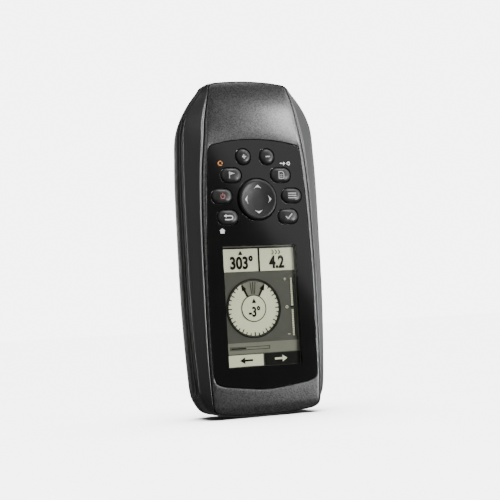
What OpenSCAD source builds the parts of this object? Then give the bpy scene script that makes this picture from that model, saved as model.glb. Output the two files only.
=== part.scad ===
// Handheld satellite navigation receiver, standing upright on its lower end.
// +X is to the right as seen from the front, +Y runs from the display to the back, +Z is up.
// The origin is at the middle of the bounding box's base. Millimetres.

/* [Case] */
// Width of the case
case_w = 66; // [65.5:0.1:67]
// Height of the case
case_h = 152.4; // [152:0.1:154]
// Thickness over the direction pad and the battery door
case_t = 30.5; // [30.5:0.1:32]
// Depth of the channel along each side
channel_deep = 1.4; // [1:0.1:1.8]

/* [Front] */
// Width of the display window
window_w = 36; // [34:0.1:36.4]
// Height of the display window
window_h = 54.2; // [50:0.1:54.6]
// Height of the window's lower edge above the base
window_z = 22.4; // [22:0.1:23]
// Thickness of the glossy front panel
panel_t = 1.4; // [1.2:0.05:1.4]

/* [Keys] */
// Width of an oval key
key_w = 9.9; // [9:0.1:10.2]
// Height of an oval key
key_h = 6.5; // [6:0.1:6.8]
// Diameter of a round key
zoom_key_dia = 7.1; // [6.4:0.1:7.4]
// Diameter of the direction pad
pad_dia = 18.6; // [17:0.1:19]
// Clearance all round a key in the panel
key_gap = 0.35; // [0.25:0.05:0.4]
// How far the keys stand proud of the panel
key_proud = 1.2; // [0.8:0.1:1.4]
// How far the direction pad stands proud of the panel
pad_proud = 1.5; // [1.2:0.1:1.6]

/* [Battery bay] */
// Width of the battery door
door_w = 41; // [40:0.1:41.4]
// Height of the battery door
door_h = 79; // [78:0.1:79.4]
// Height of the door's lower edge above the base
door_z = 12; // [11.6:0.1:12.4]
// Diameter of an AA cell
cell_dia = 14.3; // [14:0.1:14.4]

/* [Hidden] */
$fn = 48;

// Depths run from the panel's front face towards the back.
face_y = pad_proud - case_t / 2;
door_d = case_t - pad_proud;
back_d = door_d - 0.6;
channel_d1 = 13.1;
seam_d0 = 11.6;
seam_d1 = 12.5;
wall = 1.7;
mid_z = case_h / 2;
loop_steps = 3;

// The face rolls back by so much at its top and its foot, past the heights at which it is flat.
top_roll = 3.7;
top_flat = 126;
foot_roll = 1.8;
foot_flat = 6;
// Above the panel the face is crowned, and its sides fall back by so much.
face_crown = 1.3;

// Outlines are right-hand halves, from the bottom centre up to the top centre, as [x, z]. Their
// points go in step, so that a surface can run from one outline to another.
case_pts = [[0, 0], [5, 0], [9.5, 0.05], [16, 0.8], [22.4, 1.6], [26.1, 3.3], [29, 7.2],
            [30.7, 12.2], [31.6, 24], [32.4, 40], [32.9, 58], [32.98, 78], [32.98, 97], [32.8, 110],
            [32.4, 120], [31.8, 129.7], [29.7, 136.4], [26.5, 142], [22.6, 147], [19.3, 150.7],
            [13, 151.8], [6.5, 152.2], [0, 152.4]];
face_pts = [[0, 0.8], [5, 0.8], [9.5, 0.95], [16, 1.5], [22.4, 2.3], [25.5, 4], [26.1, 7.4],
            [26.4, 12.2], [26.9, 24], [27.1, 40], [27.1, 58], [26.9, 78], [26.4, 97], [25.6, 110],
            [24.5, 120.2], [23.2, 130], [22.2, 136], [21, 141.5], [19.9, 146], [18.4, 150], [13, 151.3],
            [6.5, 151.8], [0, 152]];
panel_pts = [[0, 12.2], [4.5, 12.4], [9, 12.9], [16, 13.8], [21, 14.6], [24.1, 16.2], [25.3, 19],
             [25.6, 24], [25.75, 32], [25.8, 44], [25.65, 60], [25.2, 76], [24.5, 92], [23.9, 102],
             [23.3, 110.5], [22.85, 116.5], [22.5, 119.6], [21.3, 121.6], [18.5, 122.5], [14.5, 123.35],
             [9.8, 124.05], [4.9, 124.5], [0, 124.65]];

// Keys as [x, z] of their centres, left and right alike.
zoom_at = [5.85, 116.8];
mark_at = [12.2, 108.4];
power_at = [17.15, 98.95];
back_at = [14.85, 89.45];
oval_keys = [mark_at, power_at, back_at];
small_keys = concat([zoom_at], oval_keys);
pad_at = [0, 97.4];
key_flange = 0.8;
pad_flange = 0.6;
stem_d1 = 5;
stem_r = 1.5;
pad_stem_r = 0.9;
pad_stem_at = 6.8;
pivot_d = 4.3;
ear_at = 3.6;
axle_r = 0.8;
axle_len = 9;
axle_gap = 0.05;

plate_d0 = 2.8;
plate_d1 = 4;
membrane_d = 6.1;
board_d0 = 7.2;
board_d1 = 8.8;
window_top = window_z + window_h;

ledge_d = 25.9;
door_in = 26.6;
cell_mid_d = door_in - 0.2 - cell_dia / 2;
cell_x = cell_dia / 2 + 0.35;
cell_len = 49.2;
nub_len = 1.2;
contact_t = 0.5;
bay_x = 16;
bay_z0 = 31.4;
bay_z1 = 88.2;
bay_floor = 10.4;
bay_wall = 1.4;
latch_z = 21.5;
latch_r = 3.6;
well_floor = 18.6;
well_r = 8;
lip_r = 6.6;
lip_d0 = 23.1;
lip_d1 = 24.9;
cam_len = 7.5;
dish_r = 8.3;
ring_r = 6.4;
wire_r = 0.85;
ring_d = door_d - 1.1;
fit_gap = 0.06;

port_z = 106;
usb_x = -4.9;
data_x = 5.1;
pocket_d = 25.95;
cap_w = 20;
cap_h = 16;
cap_z0 = port_z - cap_h / 2;
cap_z1 = port_z + cap_h / 2;
cap_out = 27.9;
strap_out = 27.75;
strap_z = cap_z1 + 0.5;
port_board_d = 17.4;
port_post = [9.3, 118.5];

// Case screws as [x, z, depth under the head, depth of the boss's back end].
screw_spots = [[23.9, 19, 15, 24], [25.2, 88, 15, 25], [15.6, 137, 14, 22]];
boss_r = 2.6;
sink_r = 2.5;
board_spots = [[12, 16.2], [13, 81.8], [14, 122.2]];

// ---- Curves ----

// The i-th point of a half outline, mirrored past either end.
function point_at(pts, i) =
    let (last = len(pts) - 1, j = i < 0 ? -i : i > last ? 2 * last - i : i, s = i < 0 || i > last ? -1 : 1)
    [s * pts[j][0], pts[j][1]];

function spline(a, b, c, d, t) =
    0.5 * (2 * b + (c - a) * t + (2 * a - 5 * b + 4 * c - d) * t * t + (3 * b - a - 3 * c + d) * t * t * t);

// A smooth half outline, from the bottom centre to the top centre.
function half_outline(pts) = concat(
    [for (i = [0 : len(pts) - 2], j = [0 : loop_steps - 1])
        spline(point_at(pts, i - 1), pts[i], pts[i + 1], point_at(pts, i + 2), j / loop_steps)],
    [pts[len(pts) - 1]]);

// A whole outline, counter-clockwise as seen from the front.
function whole_outline(pts) =
    let (half = half_outline(pts), n = len(half))
    concat(half, [for (i = [n - 2 : -1 : 1]) [-half[i][0], half[i][1]]]);

function fitted(pts) = [for (p = pts) [p[0] * case_w / 66, p[1] * case_h / 152.4]];
// The lowest points are level, so that the case can stand on them.
case_line = [for (p = whole_outline(fitted(case_pts))) [p[0], max(0, p[1])]];
face_line = whole_outline(fitted(face_pts));
panel_line = whole_outline(fitted(panel_pts));

function between(a, b, t) = [for (i = [0 : len(a) - 1]) a[i] + (b[i] - a[i]) * t];
function ramp(x, low, high) = let (t = min(1, max(0, (x - low) / (high - low)))) t * t * (3 - 2 * t);

// An outline drawn in towards its middle by so much at the sides, the top and the bottom.
function drawn_in(line, side, top, bottom) =
    [for (p = line)
        [p[0] * (1 - side / (case_w / 2)),
         mid_z + (p[1] - mid_z) * (1 - (p[1] > mid_z ? top : bottom) / mid_z)]];
function shrunk(line, e) = drawn_in(line, e, e, e);

// How deep the side channel is at a height.
function channel(z) = channel_deep * ramp(z, 9, 13) * (1 - ramp(z, 134.5, 136.5));
function channelled(line, e) = [for (p = line) shrunk([p], channel(p[1]) + e)[0]];
// The seam's bead stands out of the channel's floor, and is flush beyond its ends.
function beaded(line) = [for (p = line) shrunk([p], max(0.1, channel(p[1]) - 0.6))[0]];

// How far the face has rolled back at a height, and how far its crown falls back at a point.
function roll(z) = top_roll * pow(max(0, (z - top_flat) / (case_h - top_flat)), 3)
    + foot_roll * pow(max(0, 1 - z / foot_flat), 2);
function crown(p) = face_crown * pow(p[0] / 24, 2) * ramp(p[1], 122, 136);
// The depth of the face at a share s of the way from panel to edge, and of the facet outside it.
function face_depth(p, s) = 0.5 * s * s + roll(p[1]) + crown(p);
function rim_depth(z) = max(5.6, roll(z) + 2.3);
function facet_depth(p, t) = face_depth(p, 1) * (1 - t) + rim_depth(p[1]) * t;

// Rings: an outline placed at one depth, or at a depth that follows the face.
function flat_ring(line, d) = [for (p = line) [p[0], face_y + d, p[1]]];
function face_ring(line, s, d) = [for (p = line) [p[0], face_y + face_depth(p, s) + d, p[1]]];
function facet_ring(line, t) = [for (p = line) [p[0], face_y + facet_depth(p, t), p[1]]];
function rim_ring(line, d) = [for (p = line) [p[0], face_y + rim_depth(p[1]) + d, p[1]]];

// ---- Solids from rings ----

function band_faces(n, a, b) = [for (i = [0 : n - 1]) let (j = (i + 1) % n)
    each [[a * n + i, a * n + j, b * n + j], [a * n + i, b * n + j, b * n + i]]];

// A frame: rings in order round its section, the last joined to the first.
module frame_solid(rings) {
    n = len(rings[0]);
    m = len(rings);
    polyhedron([for (r = rings) each r], [for (a = [0 : m - 1]) each band_faces(n, a, (a + 1) % m)]);
}

// A cup: outer rings from rim to back, then inner rings from back to rim. Each cap is a fan of triangles.
module cup_solid(outer, inner) {
    n = len(outer[0]);
    rings = concat(outer, inner);
    m = len(rings);
    k = len(outer);
    middles = [for (r = [rings[k - 1], rings[k]]) (r[0] + r[n / 2]) / 2];
    sides = [for (a = [0 : m - 1]) if (a != k - 1) each band_faces(n, a, (a + 1) % m)];
    caps = [for (i = [0 : n - 1]) let (j = (i + 1) % n)
        each [[(k - 1) * n + i, (k - 1) * n + j, m * n], [k * n + j, k * n + i, m * n + 1]]];
    polyhedron(concat([for (r = rings) each r], middles), concat(sides, caps));
}

// A straight run of four-sided sections, closed at both ends.
module run_solid(sections) {
    n = len(sections[0]);
    m = len(sections);
    polyhedron([for (s = sections) each s],
               concat([for (a = [0 : m - 2]) each band_faces(n, a, a + 1)],
                      [[for (i = [n - 1 : -1 : 0]) i], [for (i = [0 : n - 1]) (m - 1) * n + i]]));
}

// ---- Shapes drawn as seen from the front, between two depths ----

module slab(d0, d1) {
    translate([0, face_y + d1, 0]) rotate([90, 0, 0]) linear_extrude(d1 - d0) children();
}
module disc(x, z, r) { translate([x, z]) circle(r); }
module block(x0, x1, z0, z1) { translate([x0, z0]) square([x1 - x0, z1 - z0]); }
module rounded_block(x0, x1, z0, z1, r) {
    block(x0 + r, x1 - r, z0, z1);
    block(x0, x1, z0 + r, z1 - r);
    for (x = [x0 + r, x1 - r], z = [z0 + r, z1 - r]) disc(x, z, r);
}
module oval(x, z, w, h) {
    block(x - w / 2 + h / 2, x + w / 2 - h / 2, z - h / 2, z + h / 2);
    for (s = [-1, 1]) disc(x + s * (w - h) / 2, z, h / 2);
}
module both_sides() { children(); mirror([1, 0]) children(); }

// The outline of every key, grown all round by e.
module key_outlines(e) {
    both_sides() {
        disc(zoom_at[0], zoom_at[1], zoom_key_dia / 2 + e);
        for (p = oval_keys) oval(p[0], p[1], key_w + 2 * e, key_h + 2 * e);
    }
}
module pad_outline(e) { disc(pad_at[0], pad_at[1], pad_dia / 2 + e); }

// ---- Case ----

module front_shell() {
    edge = shrunk(face_line, -0.15);
    ledge = shrunk(face_line, 1.3);
    seat = 1.95;
    section = [
        face_ring(edge, 1, seat),
        face_ring(edge, 1, 0.35),
        face_ring(between(edge, case_line, 0.12), 1, 0),
        facet_ring(between(face_line, case_line, 0.72), 0.6),
        facet_ring(between(face_line, case_line, 0.93), 0.86),
        rim_ring(case_line, 0),
        rim_ring(case_line, 1.3),
        rim_ring(channelled(case_line, 0), 1.6),
        flat_ring(channelled(case_line, 0), seam_d0),
        flat_ring(channelled(case_line, wall), seam_d0),
        rim_ring(channelled(case_line, wall), 0.3),
        face_ring(ledge, 1, seat)];
    color("#3a3b3d") difference() {
        union() {
            frame_solid(section);
            // The plate behind the panel, open at the display and the keys.
            slab(plate_d0, plate_d1) difference() {
                intersection() {
                    polygon(shrunk(face_line, -0.6));
                    block(-30, 30, 11, 124.4);
                }
                block(-window_w / 2 - 1.8, window_w / 2 + 1.8, window_z - 1.8, window_top + 1.8);
                key_outlines(key_flange + 0.3);
                pad_outline(pad_flange + 0.5);
            }
            slab(plate_d1 - 0.1, seam_d1 - 0.4) both_sides() for (p = screw_spots) disc(p[0], p[1], boss_r);
            // Webs that carry the upper bosses.
            slab(4.2, 8) both_sides() block(15, 26, screw_spots[2][1] - 1.2, screw_spots[2][1] + 1.2);
            slab(plate_d1 - 0.1, board_d0) both_sides() for (p = board_spots) disc(p[0], p[1], 2);
        }
        slab(plate_d1 + 0.5, 13) both_sides() for (p = screw_spots) disc(p[0], p[1], 1.25);
        slab(plate_d1 + 0.6, 13) both_sides() for (p = board_spots) disc(p[0], p[1], 1.2);
    }
}

module back_shell() {
    outer = [
        flat_ring(channelled(case_line, 0), seam_d1),
        flat_ring(channelled(drawn_in(case_line, 0, 0.2, 0), 0), channel_d1 - 0.3),
        flat_ring(drawn_in(case_line, 0, 0.3, 0), channel_d1),
        flat_ring(drawn_in(case_line, 0, 1, 0), 15),
        flat_ring(drawn_in(case_line, 0.2, 2.2, 0), 17.4),
        flat_ring(drawn_in(case_line, 0.8, 4.4, 0), 20.4),
        flat_ring(drawn_in(case_line, 2.1, 10, 0.9), 23.4),
        flat_ring(drawn_in(case_line, 4.4, 21, 3), 26),
        flat_ring(drawn_in(case_line, 7.2, 38, 5.8), 27.7),
        flat_ring(drawn_in(case_line, 10, 50, 8.6), back_d)];
    inner = [
        flat_ring(drawn_in(case_line, 12, 52, 11), 24.6),
        flat_ring(drawn_in(case_line, 6, 26, 5.4), 22.6),
        flat_ring(drawn_in(case_line, 3.4, 11, 2.4), 18),
        flat_ring(drawn_in(case_line, 3.1, 5, 2.1), 14),
        flat_ring(channelled(drawn_in(case_line, 0, 0.2, 0), wall), seam_d1)];
    color("#2f3032") difference() {
        union() {
            cup_solid(outer, inner);
            slab(bay_floor, door_in)
                block(-bay_x - bay_wall, bay_x + bay_wall, bay_z0 - bay_wall, bay_z1 + bay_wall);
            slab(well_floor - 1.2, door_in) disc(0, latch_z, well_r + 1.6);
            for (side = [-1, 1], p = screw_spots)
                slab(seam_d1 - 0.2, p[3]) disc(side * p[0], p[1], boss_r + 0.9);
            slab(21, 25.8) block(-12, 12, port_z - 10, port_z + 10);
            slab(port_board_d + 1.2, 24.4) both_sides() disc(port_post[0], port_post[1], 1.6);
        }
        // The door's seat, with a notch for each of its tabs.
        slab(ledge_d, 30) {
            rounded_block(-door_w / 2 - 0.25, door_w / 2 + 0.25, door_z - 0.25, door_z + door_h + 0.25, 5);
            for (s = [-1, 1]) block(s * 12 - 3.2, s * 12 + 3.2, door_z + door_h, door_z + door_h + 1.7);
        }
        slab(bay_floor + 1.2, 30) block(-bay_x, bay_x, bay_z0, bay_z1);
        // The latch's well: a lip over a wider space for the cam, and a slot that lets the cam out.
        slab(well_floor, 30) disc(0, latch_z, lip_r);
        slab(well_floor, lip_d0) disc(0, latch_z, well_r);
        slab(lip_d1, 30) disc(0, latch_z, well_r + 1.4);
        slab(well_floor, 30) block(-2.6, 2.6, latch_z - well_r, latch_z);
        // The cap's pocket, its strap's slot and finger notch, and the openings for the ports.
        slab(pocket_d, 30) {
            rounded_block(-cap_w / 2 - 0.3, cap_w / 2 + 0.3, cap_z0 - 0.3, cap_z1 + 0.5, 2.5);
            block(-6.2, 6.2, cap_z1, strap_z + 4.3);
        }
        slab(20, 30) block(-4.7, 4.7, strap_z + 0.9, strap_z + 3.7);
        slab(26.8, 30) oval(0, cap_z0 - 0.6, 9, 5);
        slab(20.9, 30) block(usb_x - 4.3, usb_x + 4.3, port_z - 2.4, port_z + 2.4);
        slab(20.9, 30) disc(data_x, port_z, 4.5);
        slab(9, 30) both_sides() for (p = screw_spots) disc(p[0], p[1], 1.35);
        for (side = [-1, 1], p = screw_spots) slab(p[2], 31) disc(side * p[0], p[1], sink_r);
    }
}

module face_bezel() {
    inner = shrunk(panel_line, -0.15);
    edge = shrunk(face_line, 0.15);
    color("#4b4c4f") frame_solid([
        flat_ring(inner, 1.9),
        flat_ring(inner, 0.15),
        face_ring(between(inner, edge, 0.35), 0.35, 0),
        face_ring(between(inner, edge, 0.7), 0.7, 0),
        face_ring(edge, 1, 0.2),
        face_ring(edge, 1, 1.85),
        face_ring(between(inner, edge, 0.5), 0.5, 1.85)]);
}

module face_panel() {
    color("#101113") slab(0, panel_t) difference() {
        polygon(panel_line);
        block(-window_w / 2, window_w / 2, window_z, window_top);
        key_outlines(key_gap);
        pad_outline(key_gap + 0.1);
    }
}

module display_lens() {
    color("#c8d0c8", 0.3) slab(0.05, panel_t) block(-window_w / 2, window_w / 2, window_z, window_top);
}

// A strip in one side channel. The side is 1 on the right and -1 on the left.
module side_strip(side) {
    half = [for (p = half_outline(fitted(case_pts))) if (p[1] > 15 && p[1] < 131) p];
    foot = channel_deep - 0.02;
    top = channel_deep - 0.5;
    function corner(p, e, d) = let (q = shrunk([p], e)[0]) [side * q[0], face_y + d, q[1]];
    sections = [for (p = half)
        [corner(p, foot, 7.6), corner(p, foot, 11.2), corner(p, top, 10.9), corner(p, top, 7.9)]];
    color("#55565a") run_solid(side > 0 ? [for (i = [len(sections) - 1 : -1 : 0]) sections[i]] : sections);
}

module case_gasket() {
    inside = channelled(case_line, 1.4);
    color("#222222") frame_solid([
        flat_ring(beaded(case_line), seam_d0 + 0.02),
        flat_ring(beaded(case_line), seam_d1 - 0.02),
        flat_ring(inside, seam_d1 - 0.02),
        flat_ring(inside, seam_d0 + 0.02)]);
}

module case_screws() {
    head = 1.8;
    color("#8f9194") for (side = [-1, 1], p = screw_spots) translate([side * p[0], 0, p[1]]) difference() {
        union() {
            slab(6, p[2] + 0.1) circle(1.15);
            slab(p[2] + 0.02, p[2] + head) circle(2.3);
        }
        // A cross recess.
        slab(p[2] + head / 2, p[2] + head + 1) {
            square([2.8, 0.6], center = true);
            square([0.6, 2.8], center = true);
        }
    }
}

// ---- Keys ----

// One key: a cap in the panel, a flange behind it and a stem. Its children are the two outlines.
module key(x, z) {
    color("#3c3d40") {
        slab(-key_proud, panel_t + 0.7) children(0);
        slab(panel_t + 0.15, panel_t + 0.9) children(1);
        slab(panel_t + 0.8, stem_d1) disc(x, z, stem_r);
    }
}
module oval_key(at, side) {
    key(side * at[0], at[1]) {
        oval(side * at[0], at[1], key_w, key_h);
        oval(side * at[0], at[1], key_w + 2 * key_flange, key_h + 2 * key_flange);
    }
}
module zoom_key(side) {
    key(side * zoom_at[0], zoom_at[1]) {
        disc(side * zoom_at[0], zoom_at[1], zoom_key_dia / 2);
        disc(side * zoom_at[0], zoom_at[1], zoom_key_dia / 2 + key_flange);
    }
}

// An axle through the pad's middle, along X or Z.
module pad_axle(along_x, r, length) {
    translate([0, face_y + pivot_d, pad_at[1]]) rotate(along_x ? [0, 90, 0] : [0, 0, 0])
        cylinder(r = r, h = length, center = true);
}
// Stations at the pad's four arrows, by index from 0 to 3.
function arrow_at(i) = [pad_at[0] + pad_stem_at * cos(90 * i), pad_at[1] + pad_stem_at * sin(90 * i)];

module direction_pad() {
    color("#3c3d40") difference() {
        union() {
            slab(-pad_proud, 2.4) pad_outline(0);
            slab(2.2, 2.7) pad_outline(pad_flange);
            for (z = [pad_at[1] - ear_at, pad_at[1] + ear_at])
                slab(2.5, pivot_d + 1.3) block(-1.6, 1.6, z - 0.7, z + 0.7);
            slab(2.5, 5.3) for (i = [0 : 3]) disc(arrow_at(i)[0], arrow_at(i)[1], pad_stem_r);
        }
        // A shallow dish in the middle of the cap.
        slab(-pad_proud - 1, 0.7 - pad_proud) disc(pad_at[0], pad_at[1], 5);
        pad_axle(false, axle_r + axle_gap, 12);
    }
}
module pad_pivot_cross() {
    color("#9a9ca0") {
        pad_axle(true, axle_r, axle_len);
        pad_axle(false, axle_r, axle_len);
    }
}
module pad_bracket() {
    color("#8a8c90") difference() {
        union() {
            for (s = [-1, 1])
                slab(pivot_d - 1.1, 6.2)
                    block(s * ear_at - 0.7, s * ear_at + 0.7, pad_at[1] - 1.6, pad_at[1] + 1.6);
            slab(6, board_d0) block(-ear_at - 0.7, ear_at + 0.7, pad_at[1] - 1.6, pad_at[1] + 1.6);
        }
        pad_axle(true, axle_r + axle_gap, 12);
    }
}
module keypad_membrane() {
    color("#707277") {
        slab(membrane_d, membrane_d + 0.45) difference() {
            block(-21.5, 21.5, 84.6, 119.9);
            block(-5.5, 5.5, pad_at[1] - 5.5, pad_at[1] + 5.5);
        }
        slab(membrane_d - 0.2, membrane_d + 0.1) both_sides() for (p = small_keys) disc(p[0], p[1], 2);
    }
}
module snap_domes() {
    color("#b9b08a") slab(board_d0 - 0.45, board_d0) {
        both_sides() for (p = small_keys) disc(p[0], p[1], 2.4);
        for (i = [0 : 3]) disc(arrow_at(i)[0], arrow_at(i)[1], 1.5);
    }
}

// ---- Electronics ----

module main_board() {
    color("#1f5a35") slab(board_d0, board_d1) difference() {
        rounded_block(-22, 22, 13, 126, 3);
        both_sides() {
            for (p = board_spots) disc(p[0], p[1], 1.3);
            for (p = screw_spots) disc(p[0], p[1], boss_r + 0.3);
        }
    }
}
module board_screws() {
    color("#a0a2a5") for (side = [-1, 1], p = board_spots) {
        slab(board_d1, board_d1 + 1.2) disc(side * p[0], p[1], 2);
        slab(board_d0 - 2, board_d1 + 0.1) disc(side * p[0], p[1], 1.1);
    }
}
module window_block(e) { block(-window_w / 2 - e, window_w / 2 + e, window_z - e, window_top + e); }
module lcd_glass() {
    color("#9aa08c") slab(2, 4) window_block(1.4);
}
module backlight_guide() {
    color("#eef2ea") slab(4.1, 5.2) window_block(0.9);
}
module lcd_frame() {
    w = window_w / 2 + 2.8;
    color("#c9cbce") difference() {
        slab(4.1, 6) block(-w, w, window_z - 2.6, window_top + 2.6);
        slab(4, 5.3) block(-w + 1.6, w - 1.6, window_z - 1.1, window_top + 1.1);
    }
}
module lcd_flex() {
    color("#c48a3a") {
        slab(6.05, 6.25) block(-8, 8, window_z - 2, window_z + 8);
        slab(6.05, board_d0) block(-8, 8, window_z - 2, window_z - 1.8);
    }
}
module patch_antenna() {
    color("#d9cfb8") slab(6.8, 10.8) block(-9, 9, 127, 145);
}
module antenna_ground() {
    color("#c7c9cc") slab(10.85, 11.25) block(-10.5, 10.5, 126, 145.1);
}
module rf_shield() {
    color("#b9bbbe") slab(board_d1, board_d1 + 1.4) rounded_block(-11, 7, 94, 114, 0.8);
}
module board_chips() {
    color("#1b1c1e") {
        slab(board_d1, board_d1 + 1.2) block(9, 18, 100, 109);
        slab(board_d1, board_d1 + 1) block(-6, 6, 36, 46);
        slab(board_d1, board_d1 + 1) block(-5, 3, 62, 72);
        slab(board_d1, board_d1 + 1.3) block(12, 16, 112, 119);
    }
}
module beeper() {
    color("#26272a") difference() {
        slab(board_d1, board_d1 + 3.6) disc(-16.6, 110, 4.2);
        slab(board_d1 + 2.4, board_d1 + 4) disc(-16.6, 110, 1);
    }
}
module port_board() {
    color("#1f5a35") slab(port_board_d, port_board_d + 1.2) block(-11, 11, port_z - 8, port_z + 15);
}
module board_link() {
    color("#d8d4c4") slab(board_d1, port_board_d) block(-4, 4, port_z + 11, port_z + 14);
}
module usb_port() {
    color("#c6c8cb") difference() {
        slab(18.6, 25.4) block(usb_x - 3.9, usb_x + 3.9, port_z - 2, port_z + 2);
        slab(19.4, 26) block(usb_x - 3.5, usb_x + 3.5, port_z - 1.6, port_z + 1.6);
    }
}
module data_port() {
    color("#1d1e20") difference() {
        slab(18.6, 25.4) disc(data_x, port_z, 4.1);
        slab(19.8, 26) disc(data_x, port_z, 3.4);
    }
}
module data_port_pins() {
    color("#d7b45a") slab(19.8, 23.4) for (a = [45 : 90 : 315])
        disc(data_x + 1.7 * cos(a), port_z + 1.7 * sin(a), 0.45);
}

// ---- Ports' rubber cap ----

// The flap turns about the thin web between it and its strap.
module weather_cap() {
    color("#232426") {
        slab(pocket_d + 0.15, cap_out) rounded_block(-cap_w / 2, cap_w / 2, cap_z0, cap_z1, 2.2);
        slab(strap_out - 0.3, strap_out) block(-5.8, 5.8, cap_z1 - 0.5, strap_z - 0.05);
        slab(24.4, pocket_d + 0.2) block(usb_x - 2.9, usb_x + 2.9, port_z - 1.1, port_z + 1.1);
        slab(24.4, pocket_d + 0.2) disc(data_x, port_z, 2.8);
        // Lift tab at the free end.
        slab(cap_out - 0.7, cap_out) oval(0, cap_z0 - 0.6, 7, 3);
    }
}
module cap_strap() {
    color("#232426") {
        slab(pocket_d + 0.05, strap_out) block(-6, 6, strap_z, strap_z + 4.1);
        slab(23.8, pocket_d + 0.1) block(-4.5, 4.5, strap_z + 1.1, strap_z + 3.5);
    }
}

// ---- Battery bay ----

// The two cells lie head to tail: the left one's nub is at the bottom, the right one's at the top.
module aa_cell(side) {
    up = side > 0;
    z0 = up ? bay_z1 - contact_t - nub_len - cell_len : bay_z0 + contact_t + nub_len;
    color("#3f6b4f") translate([side * cell_x, face_y + cell_mid_d, z0]) {
        cylinder(r = cell_dia / 2, h = cell_len, $fn = 64);
        translate([0, 0, up ? cell_len : -nub_len]) cylinder(r = 2.75, h = nub_len);
    }
}
// A cone-shaped coil spring standing on z = 0, as tall as h.
module coil_spring(r0, r1, h, turns, wire) {
    steps = 20 * turns;
    sides = 6;
    up = [0, 0, 1];
    run_solid([for (i = [0 : steps])
        let (t = i / steps, out = [cos(360 * turns * t), sin(360 * turns * t), 0])
        let (c = (r0 + (r1 - r0) * t) * out + h * t * up)
        [for (k = [0 : sides - 1]) c + wire * (cos(60 * k) * out + sin(60 * k) * up)]]);
}
module contact_springs() {
    height = bay_z1 - bay_z0 - 2 * contact_t - nub_len - cell_len;
    wire = 0.3;
    color("#b8babd") for (side = [-1, 1])
        translate([side * cell_x, face_y + cell_mid_d, side > 0 ? bay_z0 + contact_t : bay_z1 - contact_t])
            rotate([side > 0 ? 0 : 180, 0, 0]) translate([0, 0, wire])
                coil_spring(4.4, 2.4, height - 2 * wire, 3, wire);
}
module contact_plates() {
    color("#c6c8cb") for (z = [bay_z0, bay_z1 - contact_t]) slab(14, 25) block(-14.5, 14.5, z, z + contact_t);
}
module battery_door() {
    color("#2f3032") difference() {
        union() {
            slab(door_in, door_d) rounded_block(-door_w / 2, door_w / 2, door_z, door_z + door_h, 4.8);
            slab(lip_d1 + 0.2, door_in + 0.1) disc(0, latch_z, well_r + 1);
            slab(door_in, back_d - 0.2) for (s = [-1, 1])
                block(s * 12 - 3, s * 12 + 3, door_z + door_h - 0.5, door_z + door_h + 1.4);
        }
        // The dish that the ring folds into, and the latch's bore.
        slab(ring_d - wire_r - 0.25, 30) disc(0, latch_z, dish_r);
        slab(24, 30) disc(0, latch_z, latch_r + fit_gap);
    }
}
module door_seal() {
    color("#5a5c60") slab(ledge_d, door_in - 0.05) difference() {
        rounded_block(-18.9, 18.9, bay_z0 - 0.5, bay_z1 + 1.8, 3);
        rounded_block(-17, 17, bay_z0 + 0.6, bay_z1 + 0.4, 2);
    }
}
module latch_barrel() {
    color("#3c3d40") difference() {
        union() {
            slab(22.8, door_d - 0.15) disc(0, latch_z, latch_r);
            slab(24, 24.5) disc(0, latch_z, 5.2);
        }
        translate([0, face_y + ring_d, latch_z]) rotate([0, 90, 0])
            cylinder(r = wire_r + fit_gap, h = 20, center = true);
    }
}
module latch_cam() {
    color("#a7a9ac") slab(21.6, 22.8) {
        disc(0, latch_z, 3.2);
        block(-2, 2, latch_z - cam_len, latch_z);
    }
}
module latch_seal() {
    color("#202020") slab(24.5, 25) difference() {
        disc(0, latch_z, 5);
        disc(0, latch_z, latch_r);
    }
}
module d_ring() {
    color("#b9bbbe") translate([0, face_y + ring_d, latch_z]) {
        rotate([0, 90, 0]) cylinder(r = wire_r, h = 2 * ring_r, center = true);
        for (s = [-1, 1]) translate([s * ring_r, 0, 0]) sphere(r = wire_r);
        rotate([90, 0, 0]) rotate([0, 0, 180]) rotate_extrude(angle = 180, $fn = 64)
            translate([ring_r, 0]) circle(wire_r);
    }
}

front_shell();
back_shell();
face_bezel();
face_panel();
display_lens();
side_strip(-1);  // side_strip_left
side_strip(1);  // side_strip_right
case_gasket();
zoom_key(-1);  // key_zoom_in
zoom_key(1);  // key_zoom_out
oval_key(mark_at, -1);  // key_mark
oval_key(mark_at, 1);  // key_page
oval_key(power_at, -1);  // key_power
oval_key(power_at, 1);  // key_menu
oval_key(back_at, -1);  // key_back
oval_key(back_at, 1);  // key_select
direction_pad();
pad_pivot_cross();
pad_bracket();
keypad_membrane();
snap_domes();
main_board();
board_screws();
lcd_glass();
backlight_guide();
lcd_frame();
lcd_flex();
patch_antenna();
antenna_ground();
rf_shield();
board_chips();
beeper();
port_board();
board_link();
usb_port();
data_port();
data_port_pins();
weather_cap();
cap_strap();
aa_cell(-1);  // aa_cell_left
aa_cell(1);  // aa_cell_right
contact_springs();
contact_plates();
battery_door();
door_seal();
latch_barrel();
latch_cam();
latch_seal();
d_ring();
case_screws();
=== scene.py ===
import math

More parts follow.
